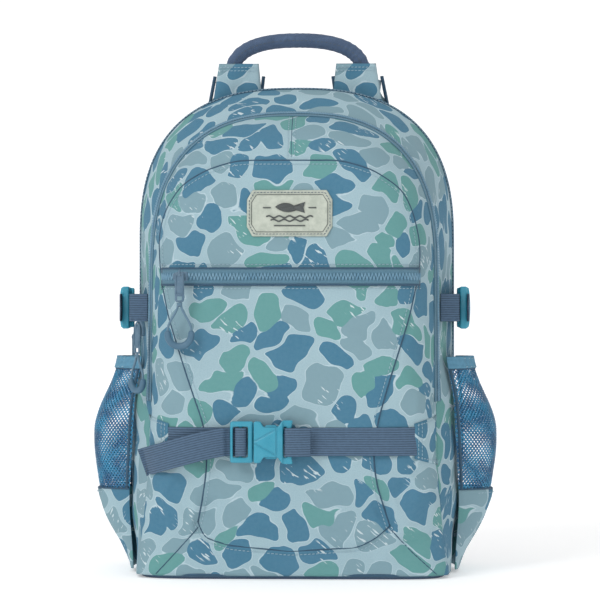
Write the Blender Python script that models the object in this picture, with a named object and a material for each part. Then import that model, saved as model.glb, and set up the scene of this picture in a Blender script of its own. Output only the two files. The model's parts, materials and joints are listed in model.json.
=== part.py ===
"""Tackle backpack: a soft bag on a stiff back, with its zippers, buckles, straps and side pockets.

The origin is the centre of the base's underside, +Z is up and the front faces -Y. Sizes are metres.
"""
import math

import bmesh
import bpy
from mathutils import Matrix, Vector

# overall sizes
BAG_HEIGHT = 0.449        # top of the back panel's outline
BACK_HALF_WIDTH = 0.147
BACK_Y = 0.066            # front face of the back panel
MAIN_REAR_Y = 0.046       # rear edge of the main compartment
ZIP_HALF_WIDTH = 0.130    # the U-shaped zipper's outline
ZIP_HEIGHT = BAG_HEIGHT - 0.028
ZIP_FOOT_Y = -0.070       # the zipper lies on a plane that leans back from here
ZIP_LEAN = 0.148
ZIP_FLARE = 0.011
BACK_TAPER = 0.006
CORNER_DROP = 0.145       # height of the rounded top corners
CORNER_POWER = 2.6
FLARE_HEIGHT = 0.150
BULGE_LOW = 0.016         # how far the front stands ahead of the zipper plane
BULGE_HIGH = 0.052
BULGE_RISE = 0.200
RIM_POWER = 3.2           # how flat the front stays before it turns in at the zipper
RIM_TURN = 0.75
SIDE_PUFF = 0.003
LOW_PUFF = 0.009
LOW_PUFF_TOP = 0.212
LOW_PUFF_FADE = 0.060
LOW_PUFF_RISE = 0.090

# sheets and fits
CLOTH = 0.0024
DIVIDER_INSET = 0.0095
SEAM_GAP = 0.0015
GAP = 0.0005
SEWN_GAP = 0.0012
BASE_THICK = 0.0025
BASE_FRONT_Y = -0.084
BASE_CORNER = 0.022

# flap
HINGE_Z = 0.150
FLAP_ANGLE = math.radians(40)
FOLD_CLEAR = 0.003

# front pocket and its zipper
POCKET_ZIP_Z = 0.271
POCKET_ZIP_LEFT = -0.118
POCKET_ZIP_RIGHT = 0.115
TAPE_WIDTH = 0.014
TAPE_THICK = 0.0016
POCKET_HALF_WIDTH = 0.105
POCKET_DEPTH = 0.026
POCKET_FLOOR_Z = 0.180
LINING_SEAM = 0.0055
EDGE_TAPE = 0.007

# label patch
PATCH_X = -0.002
PATCH_Z = 0.328
PATCH_WIDTH = 0.077
PATCH_HEIGHT = 0.042
PATCH_THICK = 0.0018

# webbing and buckles
WEB_WIDTH = 0.0254
WEB_THICK = 0.0014
STRAP_Z = 0.1237
STRAP_REACH = 0.112
BUCKLE_X = -0.025
BUCKLE_STANDOFF = 0.0095
MALE_LENGTH = 0.021
FEMALE_LENGTH = 0.035
BUCKLE_HALF_HEIGHT = 0.0185
BUCKLE_THICK = 0.011
FRAME_THICK = 0.006
BAR_WIDTH = 0.0025
BUCKLE_FIT = 0.0004
ARM_LENGTH = 0.0225
ARM_ROOT_Z = 0.0105
SIDE_BUCKLE_X = 0.1560
SIDE_BUCKLE_Y = 0.012
SIDE_BUCKLE_Z = 0.243
TAIL_LENGTH = 0.078
TAIL_DROP = 0.021
TAB_WIDTH = 0.020
TAB_HEIGHT = 0.041

# side pockets
POCKET_TOP_Z = 0.198
MESH_FOOT_Z = 0.076
BINDING_HEIGHT = 0.011
POCKET_FRONT_Y = -0.022
POCKET_REAR_Y = 0.0345
POCKET_BULGE = 0.032
POCKET_MOUTH = 0.016

# pulls
SLIDER_LENGTH = 0.0135
SLIDER_WIDTH = 0.0085
SLIDER_THICK = 0.0045
TAB_LONG = 0.023
TAB_WIDE = 0.0086
TAB_THICK = 0.0016
TAB_PIVOT = 0.0025
CORD_DIAMETER = 0.0022
GRIP_DIAMETER = 0.0062
LOOP_WIDTH = 0.0275
LOOP_DROP = 0.041
MAIN_LOOP_WIDTH = 0.0225
MAIN_LOOP_DROP = 0.035
POCKET_SLIDER_X = -0.099
TRAVEL_CLEAR = 0.0012
MAIN_SLIDER_X = 0.1385
MAIN_SLIDER_AHEAD = 0.0100
MAIN_SLIDER_Z = 0.224
SLEEVE_SLIDER_Z = 0.212

# handle and shoulder straps
HANDLE_DIAMETER = 0.0145
HANDLE_HALF_SPAN = 0.0635
HANDLE_TOP_Z = BAG_HEIGHT + 0.050
HANDLE_FOOT_Z = BAG_HEIGHT + 0.008
HANDLE_Y = 0.0845
STRAP_X = 0.057
STRAP_WIDTH = 0.048
STRAP_THICK = 0.011
STRAP_Y = 0.1005
STRAP_BOW = 0.020
STRAP_SPREAD = 0.034
STRAP_TOP_Z = BAG_HEIGHT + 0.017
STRAP_FOOT_Z = 0.150
YOKE_TOP_Z = BAG_HEIGHT + 0.027
YOKE_THICK = 0.004
YOKE_WIDTH = 0.038
LOWER_WEB_WIDTH = 0.020
PAD_THICK = 0.014
PAD_MARGIN = 0.022

COLOURS = {
    "camo_cloth": (0.40, 0.57, 0.64),
    "slate_webbing": (0.12, 0.17, 0.28),
    "buckle_plastic": (0.10, 0.45, 0.60),
    "zip_tape": (0.17, 0.32, 0.46),
    "slider_metal": (0.20, 0.34, 0.45),
    "pull_rubber": (0.13, 0.26, 0.38),
    "mesh_net": (0.03, 0.20, 0.45),
    "elastic": (0.16, 0.36, 0.50),
    "patch_leather": (0.55, 0.58, 0.52),
    "lining": (0.30, 0.34, 0.38),
    "board": (0.12, 0.13, 0.14),
    "pad_mesh": (0.14, 0.18, 0.25),
}


def material(name):
    found = bpy.data.materials.get(name)
    if found:
        return found
    made = bpy.data.materials.new(name)
    made.use_nodes = True
    shader = made.node_tree.nodes["Principled BSDF"]
    shader.inputs["Base Color"].default_value = (*COLOURS[name], 1.0)
    shader.inputs["Roughness"].default_value = 0.45 if "plastic" in name else 0.8
    shader.inputs["Metallic"].default_value = 0.6 if "metal" in name else 0.0
    return made


def new_object(name, mesh, finish):
    made = bpy.data.objects.new(name, mesh)
    mesh.materials.append(material(finish))
    bpy.context.scene.collection.objects.link(made)
    return made


def grid_mesh(name, rows):
    """A sheet of quads through rows of points."""
    bm = bmesh.new()
    placed = [[bm.verts.new(p) for p in row] for row in rows]
    for low, high in zip(placed, placed[1:]):
        for k in range(len(low) - 1):
            bm.faces.new((low[k], low[k + 1], high[k + 1], high[k]))
    mesh = bpy.data.meshes.new(name)
    bm.to_mesh(mesh)
    bm.free()
    mesh.shade_smooth()
    mesh.set_sharp_from_angle(angle=math.radians(40))
    return mesh


def sheet(name, rows, thickness, finish, side=-1):
    """A cloth sheet with a real thickness, grown to one side of its points."""
    made = new_object(name, grid_mesh(name, rows), finish)
    wall = made.modifiers.new("thickness", "SOLIDIFY")
    wall.thickness = thickness
    wall.offset = side
    return made


def span(low, high, steps):
    return [low + (high - low) * k / steps for k in range(steps + 1)]


def smooth(t):
    t = min(max(t, 0.0), 1.0)
    return t * t * (3 - 2 * t)


# the bag's outlines and surfaces
def flare(z):
    return max(0.0, 1 - z / FLARE_HEIGHT) ** 2


def zip_half_width(z):
    return ZIP_HALF_WIDTH + ZIP_FLARE * flare(z)


def back_half_width(z):
    return BACK_HALF_WIDTH - BACK_TAPER * flare(z)


def zip_plane(z):
    return ZIP_FOOT_Y + ZIP_LEAN * z


def corner_arc(half_width, top, steps):
    """The rounded top of an outline, from its left shoulder over to its right one."""
    points = []
    for a in span(math.pi, 0.0, steps):
        c, s = math.cos(a), math.sin(a)
        x = half_width * math.copysign(abs(c) ** (2 / CORNER_POWER), c)
        z = top - CORNER_DROP + CORNER_DROP * abs(s) ** (2 / CORNER_POWER)
        points.append((x, z))
    return points


def hoop(width_at, top, foot, steps=24, side_steps=6):
    """An outline up the left side, over the top and down the right side."""
    shoulder = top - CORNER_DROP
    half_width = width_at(shoulder)
    left = [(-width_at(z), z) for z in span(foot, shoulder, side_steps)[:-1]]
    right = [(-x, z) for x, z in reversed(left)]
    return left + corner_arc(half_width, top, steps) + right


def inset_hoop(points, amount):
    """The outline moved inwards by an amount, along its own normals."""
    moved = []
    for k, (x, z) in enumerate(points):
        before = points[max(k - 1, 0)]
        after = points[min(k + 1, len(points) - 1)]
        along = Vector((after[0] - before[0], after[1] - before[1])).normalized()
        moved.append((x + along.y * amount, z - along.x * amount))
    return moved


def front_depth(x, z):
    """How far the front stands ahead of the zipper plane: full in the middle, none at the outline."""
    shoulder = ZIP_HEIGHT - CORNER_DROP
    across = min(abs(x) / zip_half_width(z), 1.0)
    up = min(max(0.0, z - shoulder) / CORNER_DROP, 1.0)
    rim = min((across ** CORNER_POWER + up ** CORNER_POWER), 1.0)
    bulge = BULGE_LOW + (BULGE_HIGH - BULGE_LOW) * smooth(z / BULGE_RISE)
    return bulge * (1 - rim ** RIM_POWER) ** RIM_TURN


def front_y(x, z, ahead=0.0):
    return zip_plane(z) - front_depth(x, z) - ahead


def side_puff(z):
    """How far the band's middle stands out: more low down, where the side pockets pull on it."""
    low = smooth((LOW_PUFF_TOP - z) / LOW_PUFF_FADE) * smooth((z + 0.010) / LOW_PUFF_RISE)
    return SIDE_PUFF + LOW_PUFF * low


def gusset_point(near, far, t):
    """A point on the main compartment's band, from the zipper (t = 0) to its rear edge (t = 1)."""
    x = near[0] + (far[0] - near[0]) * t
    z = near[1] + (far[1] - near[1]) * t
    start = zip_plane(near[1]) + SEAM_GAP
    y = start + (MAIN_REAR_Y - start) * t
    out = side_puff(z) * math.sin(math.pi * t)
    up = max(0.0, z - HINGE_Z) / BAG_HEIGHT
    reach = math.hypot(x / BACK_HALF_WIDTH, up)
    return Vector((x + out * x / BACK_HALF_WIDTH / reach, y, z + out * up / reach))


def side_wall_x(y, z):
    """The band's half width at a depth and height, for what is sewn on the sides."""
    t = (y - zip_plane(z)) / (MAIN_REAR_Y - zip_plane(z))
    t = min(max(t, 0.0), 1.0)
    wide = zip_half_width(z) + (back_half_width(z) - zip_half_width(z)) * t
    return wide + side_puff(z) * math.sin(math.pi * t)


def arch_rows(points, y_at, low_at, steps):
    """Columns under the rounded top of an outline, each from its lower end up to the outline."""
    columns = []
    for x, z in points:
        heights = span(low_at(x), z, steps)
        columns.append([Vector((x, y_at(x, h), h)) for h in heights])
    return [list(row) for row in zip(*columns)]


def build_shell():
    foot = BASE_THICK + GAP
    near = hoop(zip_half_width, ZIP_HEIGHT, foot)
    far = hoop(back_half_width, BAG_HEIGHT, foot)
    rows = [[gusset_point(a, b, t) for a, b in zip(near, far)] for t in span(0.0, 1.0, 5)]
    sheet("main_gusset", rows, CLOTH, "camo_cloth")

    tape_end = MAIN_REAR_Y + SEAM_GAP + EDGE_TAPE
    rows = [[Vector((x, y, z)) for x, z in far] for y in (MAIN_REAR_Y + SEAM_GAP, tape_end)]
    sheet("sleeve_zipper_tape", rows, CLOTH, "zip_tape")
    rows = [[Vector((x, y, z)) for x, z in far] for y in (tape_end + GAP, BACK_Y - GAP)]
    sheet("sleeve_gusset", rows, CLOTH, "camo_cloth")

    inner = inset_hoop(far, DIVIDER_INSET)
    shoulder = [p for p in inner if p[1] >= BAG_HEIGHT - CORNER_DROP - 0.001]
    rows = arch_rows(shoulder, lambda x, z: MAIN_REAR_Y - CLOTH, lambda x: foot, 8)
    sheet("divider", rows, CLOTH, "lining")
    shoulder = [p for p in far if p[1] >= BAG_HEIGHT - CORNER_DROP - 0.001]
    rows = arch_rows(shoulder, lambda x, z: BACK_Y, lambda x: foot, 8)
    sheet("back_panel", rows, 0.006, "board")
    pad = inset_hoop(far, PAD_MARGIN)
    shoulder = [p for p in pad if p[1] >= BAG_HEIGHT - CORNER_DROP - 0.001]
    rows = arch_rows(shoulder, lambda x, z: BACK_Y + 0.006 + GAP, lambda x: 0.045, 8)
    back_pad = sheet("back_pad", rows, PAD_THICK, "pad_mesh")
    rounded = back_pad.modifiers.new("edge", "BEVEL")
    rounded.width = 0.004
    rounded.segments = 2
    rounded.limit_method = "ANGLE"
    rounded.angle_limit = math.radians(50)


def rounded_plate(name, low, high, corner, finish):
    """A flat plate with rounded corners, seen from above."""
    points = []
    for turn, (sx, sy) in enumerate(((1, 1), (-1, 1), (-1, -1), (1, -1))):
        cx = (high[0] if sx > 0 else low[0]) - sx * corner
        cy = (high[1] if sy > 0 else low[1]) - sy * corner
        for a in span(turn * math.pi / 2, (turn + 1) * math.pi / 2, 5):
            points.append((cx + corner * math.cos(a), cy + corner * math.sin(a)))
    bm = bmesh.new()
    face = bm.faces.new([bm.verts.new((x, y, low[2])) for x, y in points])
    grown = bmesh.ops.extrude_face_region(bm, geom=[face])
    lifted = [v for v in grown["geom"] if isinstance(v, bmesh.types.BMVert)]
    bmesh.ops.translate(bm, verts=lifted, vec=(0, 0, high[2] - low[2]))
    bmesh.ops.recalc_face_normals(bm, faces=bm.faces)
    mesh = bpy.data.meshes.new(name)
    bm.to_mesh(mesh)
    bm.free()
    return new_object(name, mesh, finish)


def build_base():
    half = back_half_width(0.0) - 0.003
    rear = BACK_Y + 0.003
    low, high = (-half, BASE_FRONT_Y, 0.0), (half, rear, BASE_THICK)
    rounded_plate("base_panel", low, high, BASE_CORNER, "slate_webbing")


def flap_foot(x):
    """The flap's lower edge: high enough that it clears what is below when the flap is open."""
    deepest = front_depth(x, HINGE_Z + 0.03)
    return HINGE_Z + FOLD_CLEAR + deepest * math.tan(FLAP_ANGLE)


def build_front():
    across = [math.sin(a) for a in span(-math.pi / 2, math.pi / 2, 20)]
    heights = span(BASE_THICK + CLOTH / 4, HINGE_Z - GAP, 9)
    rows = []
    for z in heights:
        row = [u * zip_half_width(z) for u in across]
        rows.append([Vector((x, front_y(x, z), z)) for x in row])
    sheet("lower_front", rows, CLOTH, "camo_cloth", side=-1)

    columns = []
    for u in across:
        x = u * ZIP_HALF_WIDTH
        columns.append([Vector((x, front_y(x, z), z)) for z in span(HINGE_Z, flap_foot(x) - GAP, 4)])
    sheet("flap_fold", [list(r) for r in zip(*columns)], CLOTH, "camo_cloth")

    arc = corner_arc(ZIP_HALF_WIDTH, ZIP_HEIGHT, 24)
    rows = arch_rows(arc, front_y, flap_foot, 13)
    sheet("front_panel", rows, CLOTH, "camo_cloth")

    profile = ((LINING_SEAM, 0.025), (POCKET_DEPTH - 0.002, 0.003), (POCKET_DEPTH, 0.012),
               (POCKET_DEPTH, 0.045), (POCKET_DEPTH, 0.080), (LINING_SEAM, 0.106))
    rows = []
    for back, up in profile:
        z = POCKET_FLOOR_Z + up
        row = []
        for u in span(-1.0, 1.0, 14):
            x = u * POCKET_HALF_WIDTH
            inside = LINING_SEAM + (back - LINING_SEAM) * (1 - abs(u) ** 4)
            row.append(Vector((x, front_y(x, z) + inside, z)))
        rows.append(row)
    sheet("pocket_lining", rows, 0.0012, "lining")

    xs = span(POCKET_ZIP_LEFT, POCKET_ZIP_RIGHT, 20)
    rows = []
    for z in span(POCKET_ZIP_Z - TAPE_WIDTH / 2, POCKET_ZIP_Z + TAPE_WIDTH / 2, 2):
        rows.append([Vector((x, front_y(x, z, SEWN_GAP), z)) for x in xs])
    sheet("pocket_zipper_tape", rows, TAPE_THICK, "zip_tape", side=1)

    columns = []
    for u in span(-1.0, 1.0, 10):
        tall = PATCH_HEIGHT / 2 * min(1.0, (1 - abs(u)) / 0.16 * 0.9 + 0.1)
        x = PATCH_X + u * PATCH_WIDTH / 2
        heights = [PATCH_Z + h for h in span(-tall, tall, 4)]
        columns.append([Vector((x, front_y(x, z, SEWN_GAP), z)) for z in heights])
    sheet("label_patch", [list(r) for r in zip(*columns)], PATCH_THICK, "patch_leather", side=1)


def build_main_zipper():
    """The two tapes of the U-shaped zipper: the outer one on the band, the inner one on the flap."""
    foot = HINGE_Z + 0.008
    near = inset_hoop(hoop(zip_half_width, ZIP_HEIGHT, foot), -GAP)
    far = inset_hoop(hoop(back_half_width, BAG_HEIGHT, foot), -GAP)
    end = EDGE_TAPE / (MAIN_REAR_Y - ZIP_FOOT_Y)
    rows = [[gusset_point(a, b, t) for a, b in zip(near, far)] for t in (0.0, end)]
    sheet("main_zipper_outer_tape", rows, TAPE_THICK, "zip_tape", side=1)
    rim = inset_hoop(hoop(zip_half_width, ZIP_HEIGHT, foot), -GAP)
    rows = [[rim_point(x, z, depth) for x, z in rim] for depth in (0.0085, 0.0060, 0.0035, 0.0012)]
    sheet("main_zipper_inner_tape", rows, TAPE_THICK, "zip_tape", side=1)


def rim_point(x, z, depth):
    """The point of the front, near its outline, that stands a depth ahead of the zipper plane."""
    shoulder = ZIP_HEIGHT - CORNER_DROP
    rim = (1 - (depth / BULGE_HIGH) ** (1 / RIM_TURN)) ** (1 / RIM_POWER / CORNER_POWER)
    high = shoulder + (z - shoulder) * rim if z > shoulder else z
    return Vector((x * rim, zip_plane(high) - depth - GAP, high))


# buckles: built along +X, front towards -Y, then turned into place
def box(name, low, high, finish="buckle_plastic"):
    """A box between its lowest and highest corners."""
    bm = bmesh.new()
    size = [b - a for a, b in zip(low, high)]
    centre = [(a + b) / 2 for a, b in zip(low, high)]
    place = Matrix.Translation(centre) @ Matrix.Diagonal((*size, 1.0))
    bmesh.ops.create_cube(bm, size=1.0, matrix=place)
    mesh = bpy.data.meshes.new(name)
    bm.to_mesh(mesh)
    bm.free()
    return new_object(name, mesh, finish)


def prism(name, outline, y_low, y_high, finish="buckle_plastic"):
    """An outline in X and Z carried from one depth to another."""
    bm = bmesh.new()
    face = bm.faces.new([bm.verts.new((x, y_low, z)) for x, z in outline])
    grown = bmesh.ops.extrude_face_region(bm, geom=[face])
    moved = [v for v in grown["geom"] if isinstance(v, bmesh.types.BMVert)]
    bmesh.ops.translate(bm, verts=moved, vec=(0, y_high - y_low, 0))
    bmesh.ops.recalc_face_normals(bm, faces=bm.faces)
    mesh = bpy.data.meshes.new(name)
    bm.to_mesh(mesh)
    bm.free()
    return new_object(name, mesh, finish)


def bevel(thing, width, segments=1):
    made = thing.modifiers.new("edge", "BEVEL")
    made.width = width
    made.segments = segments
    made.limit_method = "ANGLE"
    made.angle_limit = math.radians(40)


def combine(thing, tool, operation="DIFFERENCE"):
    """Cuts or joins a tool into a thing; the tool is a hidden guide from then on."""
    made = thing.modifiers.new(operation.lower(), "BOOLEAN")
    made.operation = operation
    made.object = tool
    tool.hide_render = True
    tool.display_type = "WIRE"
    return tool


def hang(thing, place, pivot):
    """Puts an object's origin on its own axis, at a pivot given in the place's axes."""
    thing.data.transform(Matrix.Translation([-v for v in pivot]))
    thing.matrix_world = place @ Matrix.Translation(pivot)


def press_outline(side):
    """One release arm with its press pad, above (1) or below (-1) the buckle's middle."""
    tip = ARM_LENGTH - 0.0075
    outer = BUCKLE_HALF_HEIGHT - 0.003 - BUCKLE_FIT
    points = [(-0.0074, 0.0085), (tip, 0.0065), (tip, outer - 0.003), (tip - 0.003, outer),
              (0.0030, outer), (0.0, 0.0118), (-0.0074, 0.0125)]
    return [(x, side * z) for x, z in points]


def buckle(name, place):
    """A side-release buckle: a frame with two slots, two arms and a hollow receiving body."""
    half = BUCKLE_HALF_HEIGHT
    seat = -0.008
    left = seat - MALE_LENGTH
    right = seat + FEMALE_LENGTH
    deep = FRAME_THICK / 2
    slot = WEB_WIDTH / 2 + 0.001
    frame = box(name + "_frame", (left, -deep, -half), (seat - BUCKLE_FIT, deep, half))
    bevel(frame, 0.0012)
    bar = left + 0.008
    tools = [combine(frame, box(name + "_slot_cut", (left + 0.0025, -0.02, -slot), (bar, 0.02, slot)))]
    inner = (bar + BAR_WIDTH, bar + BAR_WIDTH + 0.0055)
    second = box(name + "_slot_cut_2", (inner[0], -0.02, -slot), (inner[1], 0.02, slot))
    tools.append(combine(frame, second))
    wide = (bar - 0.0001, bar + BAR_WIDTH + 0.0001)
    for y in (-0.012, 0.0018):
        notch = box(name + "_bar_cut", (wide[0], y, -slot), (wide[1], y + 0.0102, slot))
        tools.append(combine(frame, notch))

    flipped = (place.to_3x3() @ Vector((0, 0, 1))).z < 0
    for side, word in ((1, "lower" if flipped else "upper"), (-1, "upper" if flipped else "lower")):
        arm = prism(name + "_" + word + "_arm", press_outline(side), -0.0025, 0.0025)
        bevel(arm, 0.0005)
        hang(arm, place, (-0.0074, 0.0, side * ARM_ROOT_Z))

    waist = 0.0135
    outline = [(seat, -half), (-0.002, -half), (0.001, -waist), (0.013, -waist), (0.018, -half - 0.001),
               (right, -half - 0.001), (right - 0.0022, -0.008), (right - 0.0028, 0.0),
               (right - 0.0022, 0.008), (right, half + 0.001), (0.018, half + 0.001), (0.013, waist),
               (0.001, waist), (-0.002, half), (seat, half)]
    deep = BUCKLE_THICK / 2
    body = prism(name + "_body", outline, -deep, deep)
    bevel(body, 0.0009, 2)
    cave = box(name + "_cave_cut", (seat - 0.01, -0.0031, -half + 0.003), (0.0162, 0.0031, half - 0.003))
    tools.append(combine(body, cave))
    web = box(name + "_web_cut", (0.0185, -0.02, -slot), (right - 0.0055, 0.02, slot))
    tools.append(combine(body, web))
    for y in (-0.0135, 0.0033):
        thin = box(name + "_thin_cut", (0.0180, y, -half - 0.01), (right + 0.01, y + 0.0102, half + 0.01))
        tools.append(combine(body, thin))
    for thing in (frame, body, *tools):
        thing.matrix_world = place


def body_loop(place):
    """Webbing folded round the receiving body's bar, from its front end to its back run."""
    bar = 0.0245
    points = [(bar + 0.018, -0.0002), (bar + 0.008, -0.0040), (bar, -0.0049), (bar - 0.0040, -0.0046),
              (bar - 0.0045, -0.0030), (bar - 0.0045, 0.0030), (bar - 0.0040, 0.0046), (bar, 0.0049),
              (bar + 0.006, 0.0044)]
    return [place @ Vector((x, y, 0.0)) for x, y in points]


def frame_loop(place):
    """Webbing under the frame, up round its bar and out again, from the run to the tail."""
    points = [(-0.0330, 0.0067), (-0.0172, 0.0067), (-0.0154, 0.0056), (-0.0150, 0.0030), (-0.0150, 0.0),
              (-0.0160, -0.0028), (-0.0198, -0.0036), (-0.0234, -0.0028), (-0.0241, 0.0), (-0.0246, 0.0030),
              (-0.0262, 0.0044), (-0.0290, 0.0047), (-0.0330, 0.0045)]
    return [place @ Vector((x, y, 0.0)) for x, y in points]


def laid_row(xs, z, ahead):
    return [Vector((x, front_y(x, z, ahead), z)) for x in xs]


def shifted(points, dz):
    return [p + Vector((0.0, 0.0, dz)) for p in points]


def build_compression_strap():
    buckle_y = front_y(BUCKLE_X, STRAP_Z) - BUCKLE_STANDOFF
    place = Matrix.Translation((BUCKLE_X, buckle_y, STRAP_Z))
    buckle("front_buckle", place)
    lift = SEWN_GAP + WEB_THICK / 2
    edges = (-WEB_WIDTH / 2, WEB_WIDTH / 2)
    run_end = BUCKLE_X - 0.0336
    under = Vector((run_end, buckle_y + 0.0067, STRAP_Z))
    xs = span(-STRAP_REACH, run_end - 0.014, 8)
    rows = [laid_row(xs, STRAP_Z + dz, lift) + shifted([under], dz) for dz in edges]
    sheet("strap_left_run", rows, WEB_THICK, "slate_webbing", side=0)

    path = frame_loop(place)
    steps = 8
    start = path[-1]
    for k in range(1, steps + 1):
        t = k / steps
        x = start.x - TAIL_LENGTH * t
        z = STRAP_Z - TAIL_DROP * t ** 1.3
        y = min(front_y(x, z - WEB_WIDTH / 2), front_y(x, z + WEB_WIDTH / 2)) - lift - WEB_THICK - 0.0022
        path.append(Vector((x, y - 0.006 * t * (1 - t) * 4, z)))
    rows = [shifted(path, dz) for dz in edges]
    sheet("strap_left_tail", rows, WEB_THICK, "slate_webbing", side=0)

    xs = span(BUCKLE_X + 0.045, STRAP_REACH, 8)
    rows = [shifted(body_loop(place), dz) + laid_row(xs, STRAP_Z + dz, lift) for dz in edges]
    sheet("strap_right_run", rows, WEB_THICK, "slate_webbing", side=0)

    for side, word in ((-1, "left"), (1, "right")):
        xs = [side * (STRAP_REACH + 0.0004 + TAB_WIDTH * t) for t in span(0.0, 1.0, 4)]
        xs = sorted(xs)
        rows = []
        for share in span(-0.5, 0.5, 3):
            row = []
            for x in xs:
                grow = (abs(x) - STRAP_REACH) / TAB_WIDTH
                z = STRAP_Z + share * (TAB_HEIGHT * 0.8 + TAB_HEIGHT * 0.3 * grow)
                x_in = min(abs(x), zip_half_width(z) - 0.0005) * side
                row.append(Vector((x_in, front_y(x_in, z, SEWN_GAP), z)))
            rows.append(row)
        sheet("strap_tab_" + word, rows, CLOTH, "camo_cloth", side=1)


def side_place(side):
    """Turns a buckle so that its length runs front to back and its front faces out to one side."""
    turn = Matrix.Rotation(side * math.pi / 2, 4, "Z")
    flip = Matrix.Rotation(math.pi, 4, "Y") if side > 0 else Matrix.Identity(4)
    spot = Matrix.Translation((side * SIDE_BUCKLE_X, SIDE_BUCKLE_Y, SIDE_BUCKLE_Z))
    return spot @ turn @ flip


def build_side_straps():
    edges = (-WEB_WIDTH / 2, WEB_WIDTH / 2)
    for side, word in ((-1, "left"), (1, "right")):
        place = side_place(side)
        buckle("side_buckle_" + word, place)
        z = SIDE_BUCKLE_Z
        seam = zip_plane(z) + EDGE_TAPE + 2 * SEAM_GAP
        lift = GAP + WEB_THICK / 2
        path = body_loop(place)[1:] + [Vector((side * (side_wall_x(seam, z) + lift), seam, z))]
        rows = [shifted(path, dz) for dz in edges[::-side]]
        sheet("side_webbing_front_" + word, rows, WEB_THICK, "slate_webbing", side=0)
        anchor = side * (back_half_width(z) + lift)
        path = [Vector((anchor, y, z)) for y in (BACK_Y - GAP, SIDE_BUCKLE_Y + 0.038)] + frame_loop(place)
        last = path[-1]
        for y, out in ((0.006, 0.0006), (0.014, 0.0020), (0.024, 0.0028)):
            path.append(last + Vector((side * out, y, 0.0)))
        rows = [shifted(path, dz) for dz in edges[::-side]]
        sheet("side_webbing_rear_" + word, rows, WEB_THICK, "slate_webbing", side=0)


def pocket_reach(z):
    """How far a side pocket stands out from the bag at a height."""
    if z < MESH_FOOT_Z:
        return POCKET_BULGE * 0.80 * smooth(0.12 + 0.88 * z / MESH_FOOT_Z) + 0.001
    rise = (z - MESH_FOOT_Z) / (POCKET_TOP_Z - MESH_FOOT_Z)
    full = POCKET_BULGE * (0.80 + 0.20 * math.sin(math.pi * min(1.0, rise / 0.8)))
    return full + (POCKET_MOUTH - full) * smooth((rise - 0.45) / 0.55)


def pocket_point(side, share, z):
    """A point on a side pocket: its outer sheet curves from the front seam round to the rear seam."""
    y = POCKET_FRONT_Y + (POCKET_REAR_Y - POCKET_FRONT_Y) * share
    out = (1 - abs(2 * share - 1) ** 2.4) ** 0.8
    x = side_wall_x(y, z) + 0.0032 + pocket_reach(z) * out
    return Vector((side * x, y, z))


def build_side_pockets():
    bands = (("pocket_base", BASE_THICK + GAP, MESH_FOOT_Z - GAP, 6, "camo_cloth", 0.0018),
             ("mesh_pocket", MESH_FOOT_Z, POCKET_TOP_Z - BINDING_HEIGHT - GAP, 8, "mesh_net", 0.0018),
             ("pocket_binding", POCKET_TOP_Z - BINDING_HEIGHT, POCKET_TOP_Z, 1, "elastic", 0.0026))
    for side, word in ((-1, "left"), (1, "right")):
        shares = [0.5 - 0.5 * math.cos(a) for a in span(0.0, math.pi, 12)]
        if side > 0:
            shares = shares[::-1]
        for name, low, high, steps, finish, thick in bands:
            rows = [[pocket_point(side, s, z) for s in shares] for z in span(low, high, steps)]
            sheet(name + "_" + word, rows, thick, finish, side=1)


# zipper sliders and pulls
def slider_pull(name, place, upright=False, width=LOOP_WIDTH, drop=LOOP_DROP):
    """A slider, its tab, a knotted cord and a moulded grip, hanging in the place's own XZ plane."""
    long = SLIDER_LENGTH / 2
    wide = SLIDER_WIDTH / 2
    outline = [(-long, -wide * 0.55), (-long * 0.2, -wide), (long, -wide), (long, wide),
               (-long * 0.2, wide), (-long, wide * 0.55)]
    if upright:
        outline = [(z, -x) for x, z in outline]
    body = prism(name + "_slider", outline, -SLIDER_THICK / 2, SLIDER_THICK / 2, "slider_metal")
    bevel(body, 0.0008)
    front = -SLIDER_THICK / 2 - 0.0003
    tab_y = front - TAB_THICK / 2 - 0.0012
    half = TAB_WIDE / 2
    end = -TAB_LONG
    outline = [(-half * 0.7, 0.004), (half * 0.7, 0.004), (half, 0.0), (half, end + 0.002), (half * 0.7, end),
               (-half * 0.7, end), (-half, end + 0.002), (-half, 0.0)]
    tab = prism(name + "_tab", outline, tab_y - TAB_THICK / 2, tab_y + TAB_THICK / 2, "slider_metal")
    bevel(tab, 0.0003)
    slot = box(name + "_tab_cut", (-half + 0.0022, -0.02, end + 0.0018), (half - 0.0022, 0.02, end + 0.0052))
    combine(tab, slot)

    knot = end - 0.0014
    side = width / 2 - GRIP_DIAMETER / 2
    arc_z = knot - drop + GRIP_DIAMETER / 2 + side
    shoulder = arc_z + 0.0040
    strand = []
    for t in span(0.0, 1.0, 6):
        strand.append(Vector((side + (0.0012 - side) * smooth(t), tab_y, shoulder + (knot - shoulder) * t)))
    arc = [Vector((side * math.cos(a), tab_y, arc_z - side * math.sin(a))) for a in span(0.0, math.pi, 10)]
    left = [Vector((-p.x, p.y, p.z)) for p in strand]
    lift = Vector((0.0, 0.0, 0.0035))
    grip = [arc[0] + lift, *arc, arc[-1] + lift]
    loop = tube(name + "_pull_loop", strand[::-1] + grip + left, CORD_DIAMETER, "pull_rubber", 2)
    for spot in loop.data.splines[0].points[len(strand):len(strand) + len(grip)]:
        spot.radius = GRIP_DIAMETER / CORD_DIAMETER
    body.matrix_world = place
    hang(tab, place, (0.0, tab_y, TAB_PIVOT))
    hang(slot, place, (0.0, tab_y, TAB_PIVOT))
    hang(loop, place, (0.0, tab_y, knot))


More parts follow.
